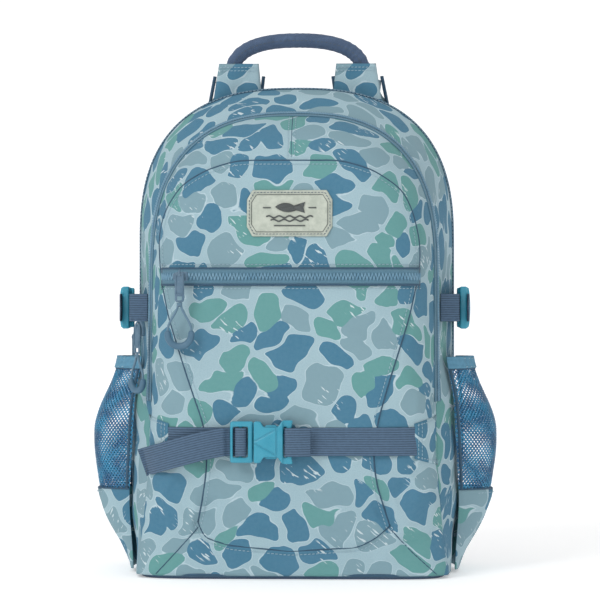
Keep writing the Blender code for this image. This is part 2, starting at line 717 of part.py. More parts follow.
def tube(name, points, diameter, finish, resolution):
    curve = bpy.data.curves.new(name, "CURVE")
    curve.dimensions = "3D"
    spline = curve.splines.new("POLY")
    spline.points.add(len(points) - 1)
    for spot, p in zip(spline.points, points):
        spot.co = (*p, 1.0)
    curve.bevel_depth = diameter / 2
    curve.bevel_resolution = resolution
    curve.use_fill_caps = True
    made = bpy.data.objects.new(name, curve)
    curve.materials.append(material(finish))
    bpy.context.scene.collection.objects.link(made)
    return made


def travel_radius():
    """The radius of the flat arc that the pocket's slider travels along the bag's curved front."""
    sag = front_depth(0.0, POCKET_ZIP_Z) - front_depth(POCKET_SLIDER_X, POCKET_ZIP_Z)
    return (POCKET_SLIDER_X ** 2 + sag ** 2) / (2 * sag)


def pivot(name, spot, children):
    """An empty on a joint's axis, which carries the pieces that turn about it."""
    empty = bpy.data.objects.new(name, None)
    bpy.context.scene.collection.objects.link(empty)
    empty.matrix_world = Matrix.Translation(spot)
    for child in children:
        thing = bpy.data.objects[child]
        thing.parent = empty
        thing.matrix_parent_inverse = empty.matrix_world.inverted()


def build_pulls():
    z = POCKET_ZIP_Z
    stand = SLIDER_THICK / 2 + TAPE_THICK + SEWN_GAP + GAP
    deepest = min(front_y(POCKET_SLIDER_X, z - drop) for drop in (0.0, 0.020, 0.040, 0.060))
    y = deepest - stand - TRAVEL_CLEAR
    radius = travel_radius()
    turn = math.asin(POCKET_SLIDER_X / radius)
    place = Matrix.Translation((POCKET_SLIDER_X, y, z)) @ Matrix.Rotation(turn, 4, "Z")
    slider_pull("pocket", place)
    pivot("pocket_slider_travel", (0.0, y + radius * math.cos(turn), z), ["pocket_slider"])
    z = MAIN_SLIDER_Z
    turn = Matrix.Rotation(-math.pi / 4, 4, "Z")
    place = Matrix.Translation((-MAIN_SLIDER_X, zip_plane(z) - MAIN_SLIDER_AHEAD, z)) @ turn
    slider_pull("main", place, upright=True, width=MAIN_LOOP_WIDTH, drop=MAIN_LOOP_DROP)
    y = MAIN_REAR_Y + SEAM_GAP + EDGE_TAPE / 2
    turn = Matrix.Rotation(-math.pi / 2, 4, "Z")
    place = Matrix.Translation((-back_half_width(z) - SLIDER_THICK / 2 - GAP, y, SLEEVE_SLIDER_Z)) @ turn
    slider_pull("sleeve", place, upright=True)


def build_handle():
    points = []
    rise = HANDLE_TOP_Z - HANDLE_FOOT_Z
    for a in span(math.pi, 0.0, 22):
        c, s = math.cos(a), math.sin(a)
        x = HANDLE_HALF_SPAN * math.copysign(abs(c) ** 0.85, c)
        points.append(Vector((x, HANDLE_Y, HANDLE_FOOT_Z + rise * abs(s) ** 0.62)))
    handle = tube("grab_handle", points, HANDLE_DIAMETER, "slate_webbing", 3)
    hang(handle, Matrix.Identity(4), (0.0, HANDLE_Y, HANDLE_FOOT_Z))


def strap_line(t):
    """A shoulder strap's centre line: from the back's top down in a long bow."""
    y = STRAP_Y + STRAP_BOW * math.sin(math.pi * t) - 0.006 * t
    z = STRAP_TOP_Z - (STRAP_TOP_Z - STRAP_FOOT_Z) * t
    x = STRAP_X + STRAP_SPREAD * math.sin(math.pi * 0.5 * t)
    return Vector((x, y, z))


def build_shoulder_straps():
    line = [strap_line(t) for t in span(0.0, 1.0, 16)]
    for side, word in ((-1, "left"), (1, "right")):
        rows = []
        for share in span(-0.5, 0.5, 4):
            row = []
            for k, p in enumerate(line):
                wide = STRAP_WIDTH * (1.0 + 0.15 * math.sin(math.pi * k / 16))
                row.append(Vector((side * (p.x + share * wide), p.y, p.z)))
            rows.append(row)
        sheet("shoulder_strap_" + word, rows[::side], STRAP_THICK, "camo_cloth", side=0)
        yoke_y = BACK_Y + 0.006 + YOKE_THICK / 2 + GAP
        yoke = []
        for share in span(-0.5, 0.5, 2):
            low = Vector((side * (STRAP_X + share * STRAP_WIDTH), yoke_y, BAG_HEIGHT - 0.012))
            high = Vector((side * (STRAP_X - 0.001 + share * YOKE_WIDTH), yoke_y, YOKE_TOP_Z))
            yoke.append([low.lerp(high, t) for t in span(0.0, 1.0, 3)])
        sheet("strap_yoke_" + word, yoke[::side], YOKE_THICK, "camo_cloth", side=0)
        foot = line[-1]
        route = (foot + Vector((0.004, 0.0, -0.0325)), Vector((0.122, 0.0925, 0.086)),
                 Vector((0.131, 0.0895, 0.072)), Vector((0.141, 0.0810, 0.060)), Vector((0.143, 0.0735, 0.056)))
        web = []
        for share in (-0.5, 0.5):
            shift = Vector((0.82, 0.0, 0.57)) * LOWER_WEB_WIDTH * share
            web.append([Vector((side * (p + shift).x, p.y, (p + shift).z)) for p in route])
        sheet("lower_webbing_" + word, web[::side], WEB_THICK, "slate_webbing", side=0)
        ladder_lock("ladder_lock_" + word, Vector((side * (foot.x + 0.002), foot.y, foot.z)))


def ladder_lock(name, top):
    """A plastic adjuster under a shoulder strap: a plate with two slots."""
    half = LOWER_WEB_WIDTH / 2 + 0.004
    inside = half - 0.003
    low, high = (top.x - half, top.y - 0.0022, top.z - 0.0235), (top.x + half, top.y + 0.0022, top.z - 0.0015)
    lock = box(name, low, high)
    bevel(lock, 0.0008)
    for z in (top.z - 0.0205, top.z - 0.0105):
        low, high = (top.x - inside, top.y - 0.02, z), (top.x + inside, top.y + 0.02, z + 0.006)
        combine(lock, box(name + "_cut", low, high))


def clear_scene():
    for thing in list(bpy.data.objects):
        bpy.data.objects.remove(thing, do_unlink=True)


def main():
    clear_scene()
    build_shell()
    build_base()
    build_front()
    build_main_zipper()
    flap = ["front_panel", "pocket_lining", "pocket_zipper_tape", "label_patch", "main_zipper_inner_tape"]
    pivot("flap_hinge", (0.0, zip_plane(HINGE_Z), HINGE_Z), flap)
    build_compression_strap()
    build_side_straps()
    build_side_pockets()
    build_pulls()
    build_handle()
    build_shoulder_straps()


main()
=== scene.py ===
"""Looks of the tackle backpack: printed cloth, webbing, zippers, netting, buckles and pads.

Sizes are metres, +Z is up and the front faces -Y.
"""
import json
import math

import bmesh
import bpy
import numpy as np
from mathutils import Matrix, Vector

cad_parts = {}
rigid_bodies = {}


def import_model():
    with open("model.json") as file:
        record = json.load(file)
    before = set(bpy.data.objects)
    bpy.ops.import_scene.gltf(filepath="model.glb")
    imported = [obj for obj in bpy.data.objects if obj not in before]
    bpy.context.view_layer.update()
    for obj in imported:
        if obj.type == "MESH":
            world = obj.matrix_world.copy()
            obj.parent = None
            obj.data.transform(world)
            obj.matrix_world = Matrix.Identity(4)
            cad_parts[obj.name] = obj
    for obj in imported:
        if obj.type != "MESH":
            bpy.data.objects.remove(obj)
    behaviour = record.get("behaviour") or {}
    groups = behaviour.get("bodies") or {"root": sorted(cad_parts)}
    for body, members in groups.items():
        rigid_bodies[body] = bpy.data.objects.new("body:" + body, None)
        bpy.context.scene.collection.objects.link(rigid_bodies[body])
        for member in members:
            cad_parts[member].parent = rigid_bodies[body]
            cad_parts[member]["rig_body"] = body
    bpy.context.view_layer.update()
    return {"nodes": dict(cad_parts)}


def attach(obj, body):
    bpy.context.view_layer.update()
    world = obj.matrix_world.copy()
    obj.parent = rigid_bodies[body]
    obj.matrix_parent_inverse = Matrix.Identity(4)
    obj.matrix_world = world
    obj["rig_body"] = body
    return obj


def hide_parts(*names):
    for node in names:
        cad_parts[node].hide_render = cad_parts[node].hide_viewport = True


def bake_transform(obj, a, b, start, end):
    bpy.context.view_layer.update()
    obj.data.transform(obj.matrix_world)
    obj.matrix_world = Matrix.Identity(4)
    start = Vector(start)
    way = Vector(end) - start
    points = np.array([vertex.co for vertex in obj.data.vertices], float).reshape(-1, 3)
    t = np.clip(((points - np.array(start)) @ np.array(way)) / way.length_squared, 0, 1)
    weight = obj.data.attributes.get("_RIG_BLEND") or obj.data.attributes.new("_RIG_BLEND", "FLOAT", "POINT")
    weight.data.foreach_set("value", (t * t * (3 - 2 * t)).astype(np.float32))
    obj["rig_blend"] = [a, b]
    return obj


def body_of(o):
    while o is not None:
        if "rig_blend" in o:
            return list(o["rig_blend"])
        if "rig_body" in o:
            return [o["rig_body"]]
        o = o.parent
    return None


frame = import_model()
nodes = frame["nodes"]

# the bag's own shape
BAG_HEIGHT = 0.449
BACK_HALF_WIDTH = 0.147
BACK_Y = 0.066
MAIN_REAR_Y = 0.046
ZIP_HALF_WIDTH = 0.130
ZIP_HEIGHT = 0.421
ZIP_FOOT_Y = -0.070
ZIP_LEAN = 0.148
CORNER_DROP = 0.145
CORNER_POWER = 2.6
BULGE_LOW = 0.016
BULGE_HIGH = 0.052
RIM_POWER = 3.2
RIM_TURN = 0.75
FOOT = 0.003
HINGE_Z = 0.150
STRAP_Z = 0.1237
BUCKLE_X = -0.025
WEB_WIDTH = 0.0254
WEB_THICK = 0.0014
POCKET_ZIP_Z = 0.271
SIDE_BUCKLE = (0.156, 0.012, 0.243)
POCKET_TOP_Z = 0.198
TAB_X = 0.1124
TAB_LONG = 0.020
TAB_TALL = 0.0328
TAB_GROWS = 0.0123
MESH_FOOT_Z = 0.076
NET_FOOT_Z = 0.0755
CORE = np.array([0.0, 0.0, 0.22])


def smooth(t):
    """A step from 0 to 1 with level ends: t squared times (3 - 2t)."""
    t = np.clip(t, 0.0, 1.0)
    return t * t * (3 - 2 * t)


def flare(z):
    return np.maximum(0.0, 1 - np.asarray(z) / 0.150) ** 2


def zip_half_width(z):
    return ZIP_HALF_WIDTH + 0.011 * flare(z)


def back_half_width(z):
    return BACK_HALF_WIDTH - 0.006 * flare(z)


def zip_plane(z):
    return ZIP_FOOT_Y + ZIP_LEAN * np.asarray(z)


def front_depth(x, z):
    """The crown ahead of the zipper plane: a bulge growing upwards, times one less a power of the rim."""
    across = np.minimum(np.abs(x) / zip_half_width(z), 1.0)
    up = np.clip(np.maximum(0.0, z - (ZIP_HEIGHT - CORNER_DROP)) / CORNER_DROP, 0.0, 1.0)
    rim = np.minimum(across ** CORNER_POWER + up ** CORNER_POWER, 1.0)
    bulge = BULGE_LOW + (BULGE_HIGH - BULGE_LOW) * smooth(z / 0.200)
    return bulge * (1 - rim ** RIM_POWER) ** RIM_TURN


def front_y(x, z, ahead=0.0):
    return zip_plane(z) - front_depth(x, z) - ahead


def side_puff(z):
    """How far the side stands out: a little everywhere, and more beside the pockets."""
    return 0.003 + 0.009 * smooth((0.212 - z) / 0.060) * smooth((z + 0.010) / 0.090)


def side_wall_x(y, z):
    """The side's half width at a depth and height: straight from zipper to back, plus a sine of the share."""
    t = np.clip((y - zip_plane(z)) / (MAIN_REAR_Y - zip_plane(z)), 0.0, 1.0)
    wide = zip_half_width(z) + (back_half_width(z) - zip_half_width(z)) * t
    return wide + side_puff(z) * np.sin(math.pi * t)


def signed_power(values, power):
    """Values raised to a power with their signs kept, as a superellipse needs."""
    return np.sign(values) * np.abs(values) ** power


def arch_top(u, top):
    """The superellipse height of a panel at its shares u from -1 to 1 across."""
    return top - CORNER_DROP + CORNER_DROP * (1 - np.abs(u) ** CORNER_POWER) ** (1 / CORNER_POWER)


def hoop(width_at, top, foot=FOOT, count=241):
    """An outline up the left, over a superellipse corner and down the right, evenly spaced: (count, 2)."""
    shoulder = top - CORNER_DROP
    side = np.linspace(foot, shoulder, 60)[:-1]
    a = np.linspace(math.pi, 0.0, 121)
    c, s = np.cos(a), np.sin(a)
    half = width_at(shoulder)
    arc_x = half * signed_power(c, 2 / CORNER_POWER)
    arc_z = shoulder + CORNER_DROP * np.abs(s) ** (2 / CORNER_POWER)
    x = np.concatenate([-width_at(side), arc_x, width_at(side)[::-1]])
    z = np.concatenate([side, arc_z, side[::-1]])
    return resample(xyz(x, z), count)


def resample(points, count, soften=0):
    """Points spaced evenly by length along a line, then averaged with their neighbours some times over."""
    points = np.asarray(points, float)
    at = np.linspace(0.0, lengths(points)[-1], count)
    even = part_way(points, at)
    for _ in range(soften):
        even[1:-1] = (even[:-2] + 2 * even[1:-1] + even[2:]) / 4
    return even


def part_way(points, at, along=None):
    """What a line's points, or values along it, come to at some distances along it."""
    along = lengths(points) if along is None else along
    return np.stack([np.interp(at, along, points[:, k]) for k in range(points.shape[1])], 1)


def lengths(points):
    """The distance along a line of points to each of them."""
    step = np.linalg.norm(np.diff(points, axis=0), axis=1)
    return np.concatenate([[0.0], np.cumsum(step)])


def xyz(*values):
    """Points from their coordinates, each an array or one number for all."""
    return np.stack(np.broadcast_arrays(*values), -1)


def unit(v):
    return v / np.maximum(np.linalg.norm(v, axis=-1, keepdims=True), 1e-12)


def stand_in(piece, slot, body, *replaced):
    """Hides the CAD nodes a piece replaces and hangs the piece on the body it rides on; its material slot is not
    used.
    """
    if replaced:
        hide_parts(*replaced)
    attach(piece, body)


# meshes
def mesh_object(name, points, quads, uv=None, finish=None):
    """A mesh from arrays of points, four-cornered faces and flat cloth coordinates."""
    points = np.asarray(points, np.float32).reshape(-1, 3)
    quads = np.asarray(quads, np.int32).reshape(-1, 4)
    mesh = bpy.data.meshes.new(name)
    mesh.vertices.add(len(points))
    mesh.vertices.foreach_set("co", points.ravel())
    mesh.loops.add(quads.size)
    mesh.loops.foreach_set("vertex_index", quads.ravel())
    mesh.polygons.add(len(quads))
    mesh.polygons.foreach_set("loop_start", np.arange(0, quads.size, 4, dtype=np.int32))
    mesh.update(calc_edges=True)
    if uv is not None:
        layer = mesh.uv_layers.new(name="UVMap")
        flat = np.asarray(uv, np.float32).reshape(-1, 2)[quads.ravel()]
        layer.data.foreach_set("uv", flat.ravel())
    mesh.validate()
    mesh.shade_smooth()
    made = bpy.data.objects.new(name, mesh)
    bpy.context.scene.collection.objects.link(made)
    if finish:
        mesh.materials.append(finish)
    return made


def grid_quads(rows, columns, wrap=False):
    """The faces of a grid of points; wrap joins its last column to its first."""
    r, c = np.meshgrid(np.arange(rows - 1), np.arange(columns if wrap else columns - 1), indexing="ij")
    n = (c + 1) % columns
    faces = xyz(r * columns + c, r * columns + n, (r + 1) * columns + n, (r + 1) * columns + c)
    return faces.reshape(-1, 4)


def cloth_uv(grid, start=(0.0, 0.0)):
    """Flat coordinates in metres: lengths across from the middle column and up from the first row."""
    across = np.linalg.norm(np.diff(grid, axis=1), axis=2)
    across = np.concatenate([np.zeros((len(grid), 1)), np.cumsum(across, 1)], 1)
    across -= across[:, [grid.shape[1] // 2]]
    up = np.linalg.norm(np.diff(grid, axis=0), axis=2)
    up = np.concatenate([np.zeros((1, grid.shape[1])), np.cumsum(up, 0)], 0)
    return xyz(across + start[0], up + start[1])


def outward(grid, core=CORE):
    """Whether a grid's faces look away from the bag's core."""
    normal = np.cross(grid[1:, :-1] - grid[:-1, :-1], grid[:-1, 1:] - grid[:-1, :-1])
    return -np.sum(normal * (grid[:-1, :-1] - core)) > 0


def sheet(name, grid, thick, finish, offset=-1.0, start=(0.0, 0.0), core=CORE):
    """Cloth with a thickness, through a grid of points; it grows inwards, or outwards for an offset of 1."""
    uv = cloth_uv(grid, start)
    if not outward(grid, core):
        grid, uv = grid[:, ::-1], uv[:, ::-1]
    made = mesh_object(name, grid, grid_quads(*grid.shape[:2]), uv, finish)
    wall = made.modifiers.new("thickness", "SOLIDIFY")
    wall.thickness = thick
    wall.offset = offset
    return made


def rounded_profile(width, thick):
    """A flat band's outline: two straight faces joined by half circles of points."""
    a = np.linspace(-math.pi / 2, math.pi / 2, 5)
    x = (width - thick) / 2 + thick / 2 * np.cos(a)
    y = thick / 2 * np.sin(a)
    fill = np.linspace(1, -1, 9)[1:-1] * (width - thick) / 2
    top = xyz(fill, thick / 2)
    right = xyz(x, y)
    return np.concatenate([right, top, -right, -top])


def carried(name, path, across, profile, finish, scale=None):
    """A closed profile carried along a path: its x lies along the across directions, its y off them."""
    path = np.asarray(path, float)
    along = unit(np.gradient(path, axis=0))
    across = np.broadcast_to(np.asarray(across, float), path.shape)
    across = unit(across - along * np.sum(across * along, -1, keepdims=True))
    normal = np.cross(along, across)
    scale = np.ones(len(path)) if scale is None else np.asarray(scale)
    count = len(profile)
    ring = path[:, None] + scale[:, None, None] * (
        profile[None, :, :1] * across[:, None] + profile[None, :, 1:] * normal[:, None])
    ring = np.concatenate([path[:1][:, None].repeat(count, 1), ring, path[-1:][:, None].repeat(count, 1)])
    run = lengths(path)
    run = np.concatenate([run[:1], run, run[-1:]])
    uv = np.stack(np.broadcast_arrays(run[:, None], profile[None, :, 0]), -1)
    quads = grid_quads(len(ring), count, wrap=True)
    return mesh_object(name, ring, quads[:, ::-1], uv, finish)


def tube(name, path, radius, finish, sides=12):
    """A round line along a path, with a radius for each of its points."""
    path = np.asarray(path, float)
    along = unit(np.gradient(path, axis=0))
    across = np.zeros_like(path)
    guide = np.array([0.0, 0.0, 1.0]) if abs(along[0, 2]) < 0.8 else np.array([0.0, 1.0, 0.0])
    last = unit(np.cross(along[0], guide))
    for k, t in enumerate(along):
        last = unit(last - t * (last @ t))
        across[k] = last
    a = np.linspace(0, 2 * math.pi, sides, endpoint=False)
    profile = xyz(np.cos(a), np.sin(a))
    radius = np.broadcast_to(radius, (len(path),))
    return carried(name, path, across, profile, finish, radius)


def repeated(name, shape, places, axes, finish):
    """One small shape (points, faces) set at many places, turned to each place's own three axes."""
    points, quads = shape
    spread = places[:, None] + np.einsum("pk,nkd->npd", points, axes)
    faces = quads[None] + (np.arange(len(places)) * len(points))[:, None, None]
    return mesh_object(name, spread, faces, np.zeros((spread.size // 3, 2)), finish)


def bead(long, wide, tall):
    """A stitch or a tooth: a rounded bar of three rings and its tapered ends, 24 faces in all."""
    a = np.linspace(0, 2 * math.pi, 6, endpoint=False)
    ring = xyz(np.cos(a) * wide / 2, np.sin(a) * tall / 2)
    rows = []
    for x, size in ((-0.5, 0.001), (-0.38, 0.8), (0.0, 1.0), (0.38, 0.8), (0.5, 0.001)):
        rows.append(np.concatenate([np.full((6, 1), x * long), ring * size], 1))
    return np.concatenate(rows), grid_quads(5, 6, wrap=True)[:, ::-1]


def block(long, wide, tall, cut=0.25):
    """A zipper tooth: a block whose outer face is smaller than its foot."""
    top = 1 - cut
    square = np.array([[-1, -1], [1, -1], [1, 1], [-1, 1]]) / 2
    low = np.concatenate([square * [long, wide], np.zeros((4, 1))], 1)
    mid = np.concatenate([square * [long, wide], np.full((4, 1), tall * 0.6)], 1)
    high = np.concatenate([square * [long * top, wide * top], np.full((4, 1), tall)], 1)
    points = np.concatenate([low, mid, high])
    sides = grid_quads(3, 4, wrap=True)
    return points, np.concatenate([sides, [[3, 2, 1, 0], [8, 9, 10, 11]]])


def line_axes(path, normal, slant=0.0):
    """For each point of a line: along it, across it and off the surface, turned by a slant."""
    along = unit(np.gradient(path, axis=0))
    normal = unit(normal - along * np.sum(normal * along, -1, keepdims=True))
    across = np.cross(normal, along)
    turned = along * math.cos(slant) + across * math.sin(slant)
    return np.stack([turned, np.cross(normal, turned), normal], 1)


def stitch_line(name, path, normal, finish, pitch=0.0036, lift=0.0003, long=0.0027):
    """A row of stitches along a line on a surface."""
    count = max(2, int(lengths(path)[-1] / pitch))
    at = np.linspace(0, lengths(path)[-1], count)
    spots = part_way(path, at)
    off = part_way(normal, at, lengths(path))
    axes = line_axes(spots, off, 0.10)
    return repeated(name, bead(long, 0.0007, 0.0006), spots + unit(off) * lift, axes, finish)


def join(name, parts):
    """Several meshes made one, so that a seam or a chain is a single piece."""
    bpy.ops.object.select_all(action="DESELECT")
    for part in parts:
        part.select_set(True)
    bpy.context.view_layer.objects.active = parts[0]
    bpy.ops.object.join()
    parts[0].name = name
    return parts[0]


def on_front(xz, ahead=0.0):
    """Points on the front cloth over (x, z) pairs."""
    x, z = xz[..., 0], xz[..., 1]
    return xyz(x, front_y(x, z, ahead) - front_relief(x, z), z)


def front_normal(xz):
    """Which way the front faces at (x, z) pairs, from small steps to each side."""
    d = 0.001
    x, z = xz[..., 0], xz[..., 1]
    dx = (front_y(x + d, z) - front_y(x - d, z)) / (2 * d)
    dz = (front_y(x, z + d) - front_y(x, z - d)) / (2 * d)
    return unit(xyz(dx, -np.ones_like(dx), dz))


# seams of the front
def seen(points):
    """Seam points given in millimetres from the front's middle line and above the base."""
    return np.asarray(points, float) / 1000.0


ARCH_LEFT = seen([(-84, 51), (-79, 75), (-75, 103), (-78, 139), (-86, 161), (-99, 200), (-111, 235),
                  (-119, 272), (-121.5, 301), (-121, 313), (-116.5, 331), (-101, 354), (-77, 368),
                  (-50, 376)])
ARCH_RIGHT = seen([(44, 376), (73, 367.5), (99, 350), (108.5, 331), (115, 303), (115, 278), (105, 233),
                   (87, 176), (77.5, 143), (73, 111.5), (76.5, 83.5), (88, 48)])
ARCH_FOOT = seen([(88, 48), (75, 36.5), (59, 28.5), (-2, 25), (-55, 30), (-78, 37), (-84, 51)])
ARCH = resample(np.concatenate([ARCH_LEFT, ARCH_RIGHT]), 260, 10)
ARCH_BOTTOM = resample(ARCH_FOOT, 80, 6)
CENTRE_SEAM = seen([(-1, 377), (-1, 418)])
CORNER_SEAMS = (seen([(-84, 46), (-98, 30), (-122, 4)]), seen([(89, 45), (106, 26), (130, 4)]))

# creases of slack cloth: from (x, z) to (x, z), their width and height, all in millimetres
CREASES = np.array([
    (-112, 118, -74, 92, 6, 1.1), (-110, 104, -70, 62, 7, -1.0), (-116, 150, -92, 190, 8, 0.9),
    (-120, 84, -96, 40, 7, 1.2), (-108, 62, -80, 24, 6, 1.0), (112, 118, 78, 96, 6, 1.1),
    (112, 102, 84, 60, 7, -1.0), (120, 152, 96, 196, 8, 0.9), (122, 86, 98, 44, 8, 1.3),
    (104, 60, 82, 22, 6, 1.0), (-60, 112, -20, 96, 8, -0.7), (20, 100, 70, 110, 8, 0.7),
    (-100, 268, -70, 250, 7, 0.8), (100, 268, 76, 246, 7, 0.8), (-90, 340, -60, 356, 8, 0.8),
    (86, 342, 58, 358, 8, 0.9), (-122, 220, -100, 205, 6, 0.9), (122, 226, 102, 208, 6, 0.9),
    (-84, 50, -70, 70, 4, -1.2), (-92, 44, -84, 70, 4, 1.3), (89, 46, 76, 66, 4, -1.2),
    (96, 40, 92, 70, 4, 1.3), (-104, 96, -126, 70, 5, 1.3), (-100, 34, -124, 40, 5, -1.2),
    (106, 92, 128, 70, 5, 1.3), (104, 30, 128, 38, 5, -1.2), (-60, 36, -30, 44, 6, 1.0),
    (24, 40, 62, 34, 6, 1.0), (-40, 70, 30, 58, 9, 0.8), (-20, 172, 50, 160, 10, 0.6),
    (-60, 215, 0, 222, 10, -0.5), (30, 228, 80, 205, 9, 0.6),
    (-126, 190, -112, 150, 5, 1.0), (126, 190, 112, 150, 5, 1.0)]) / 1000.0


def near_line(x, z, line):
    """The distance from (x, z) to a line of points, by its nearest segment."""
    best = np.full(np.shape(x), 1.0)
    for a, b in zip(line[:-1], line[1:]):
        d = b - a
        t = np.clip(((x - a[0]) * d[0] + (z - a[1]) * d[1]) / (d @ d), 0.0, 1.0)
        best = np.minimum(best, np.hypot(x - a[0] - t * d[0], z - a[1] - t * d[1]))
    return best


def within(x, z, ring):
    """Whether (x, z) is inside a closed ring: an odd number of its edges cross a ray to the right."""
    odd = np.zeros(np.shape(x), bool)
    for a, b in zip(ring, np.roll(ring, -1, axis=0)):
        if a[1] == b[1]:
            continue
        crosses = (a[1] > z) != (b[1] > z)
        odd ^= crosses & (x < (b[0] - a[0]) * (z - a[1]) / (b[1] - a[1]) + a[0])
    return odd


def front_relief(x, z):
    """The front's small shapes: the middle panel lies over the sides, seams sink and slack cloth creases."""
    ring = np.concatenate([ARCH[::3], ARCH_BOTTOM[::3]])
    edge = near_line(x, z, np.concatenate([ring, ring[:1]]))
    signed = np.where(within(x, z, ring), edge, -edge)
    rise = 0.0009 * smooth(0.5 + signed / 0.0018) - 0.0004 * np.exp(-(signed + 0.002) ** 2 / 0.0016 ** 2)
    for seam in (CENTRE_SEAM, *CORNER_SEAMS):
        rise = rise - 0.0007 * np.exp(-(near_line(x, z, seam) / 0.0016) ** 2)
    for x0, z0, x1, z1, wide, tall in CREASES:
        far = near_line(x, z, np.array([(x0, z0), (x1, z1)]))
        rise = rise + 1.9 * tall * np.exp(-(far / wide) ** 2)
    rise = rise + 0.0009 * np.sin(x * 61 + 2 * np.sin(z * 37)) * np.sin(z * 43 + 1.5 * np.sin(x * 29))
    rim = smooth(front_depth(x, z) / 0.010)
    under_zip = smooth((np.abs(z - POCKET_ZIP_Z) - 0.008) / 0.008)
    under_patch = smooth(np.maximum(np.abs(x - PATCH_X) - 0.038, np.abs(z - PATCH_Z) - 0.021) / 0.008 + 0.2)
    under_strap = smooth((np.abs(z - STRAP_Z) - 0.011) / 0.012)
    calm = under_zip * under_patch * (0.35 + 0.65 * under_strap)
    return np.clip(rise * (0.25 + 0.75 * calm), -0.0026, 0.0030) * rim


# materials
def srgb(red, green, blue):
    """A colour as it is seen, turned into the light that a shader works in."""
    seen_value = np.array([red, green, blue]) / 255.0
    linear = np.where(seen_value <= 0.04045, seen_value / 12.92, ((seen_value + 0.055) / 1.055) ** 2.4)
    return (*[float(v) for v in linear], 1.0)


def shaded(colour, amount):
    """A colour made darker or lighter by an amount."""
    return (*[min(1.0, c * amount) for c in colour[:3]], 1.0)


class Socket:
    """A node's output, whose arithmetic adds Math nodes."""

    def __init__(self, finish, socket):
        self.finish = finish
        self.socket = socket

    def math(self, operation, *values):
        return self.finish.node("ShaderNodeMath", dict(enumerate(values)), operation=operation)

    def __add__(self, other):
        return self.math("ADD", self, other)

    def __sub__(self, other):
        return self.math("SUBTRACT", self, other)

    def __rsub__(self, other):
        return self.math("SUBTRACT", other, self)

    def __mul__(self, other):
        return self.math("MULTIPLY", self, other)

    __radd__ = __add__
    __rmul__ = __mul__


class Finish:
    """A material under construction."""

    def __init__(self, name, roughness=0.8, sheen=0.0, specular=0.5):
        self.material = bpy.data.materials.new(name)
        self.material.use_nodes = True
        self.tree = self.material.node_tree
        self.shader = self.tree.nodes["Principled BSDF"]
        self.shader.inputs["Roughness"].default_value = roughness
        self.shader.inputs["Sheen Weight"].default_value = sheen
        self.shader.inputs["Specular IOR Level"].default_value = specular

    def node(self, kind, inputs=None, out=0, stops=None, **settings):
        """Adds a node: its settings first, then the values or links of its sockets."""
        made = self.tree.nodes.new(kind)
        for key, value in settings.items():
            setattr(made, key, value)
        if stops:
            ramp = made.color_ramp
            while len(ramp.elements) < len(stops):
                ramp.elements.new(0.5)
            for element, (at, colour) in zip(ramp.elements, stops):
                element.position = at
                element.color = colour
        for key, value in (inputs or {}).items():
            self.feed(made.inputs[key], value)
        return Socket(self, made.outputs[out])

    def feed(self, socket, value):
        if isinstance(value, Socket):
            self.tree.links.new(value.socket, socket)
        else:
            socket.default_value = value

    def set(self, name, value):
        self.feed(self.shader.inputs[name], value)

    def mix(self, factor, a, b):
        return self.node("ShaderNodeMix", {0: factor, 6: a, 7: b}, out=2, data_type="RGBA")

    def coords(self, space="UV"):
        return self.node("ShaderNodeTexCoord", out=space)

    def vector(self, operation, *values):
        return self.node("ShaderNodeVectorMath", dict(enumerate(values)), operation=operation)

    def noise(self, at, scale, detail=2.0, roughness=0.5, out="Fac", **extra):
        inputs = {"Vector": at, "Scale": scale, "Detail": detail, "Roughness": roughness, **extra}
        return self.node("ShaderNodeTexNoise", inputs, out=out)

    def stretched(self, at, scale, turn=(0.0, 0.0, 0.0), place=(0.0, 0.0, 0.0)):
        inputs = {"Vector": at, "Scale": scale, "Rotation": turn, "Location": place}
        return self.node("ShaderNodeMapping", inputs)

    def step(self, value, low, high):
        inputs = {"Value": value, "From Min": low, "From Max": high}
        return self.node("ShaderNodeMapRange", inputs, interpolation_type="SMOOTHSTEP")

    def parts(self, at):
        split = self.node("ShaderNodeSeparateXYZ", {0: at})
        return split, Socket(self, split.socket.node.outputs[1]), Socket(self, split.socket.node.outputs[2])

    def sine(self, value):
        return self.node("ShaderNodeMath", {0: value}, operation="SINE")

    def size(self, value):
        return self.node("ShaderNodeMath", {0: value}, operation="ABSOLUTE")

    def bump(self, height, distance, strength=1.0):
        made = self.node("ShaderNodeBump", {"Height": height, "Distance": distance, "Strength": strength})
        self.set("Normal", made)
        return made


BLUE = srgb(64, 121, 150)
GREEN = srgb(98, 157, 154)
GREY = srgb(130, 162, 173)
CHANNEL = srgb(170, 197, 206)
CHANNEL_DARK = srgb(140, 175, 188)
SCRATCH = srgb(214, 228, 232)


def weave(finish, at, pitch=0.00055):
    """A plain weave: the product of two sines, one for each thread's direction."""
    x, y, _ = finish.parts(at)
    turn = 2 * math.pi / pitch
    warp = finish.sine(x * turn)
    weft = finish.sine(y * turn)
    return (warp * weft) * 0.5 + 0.5


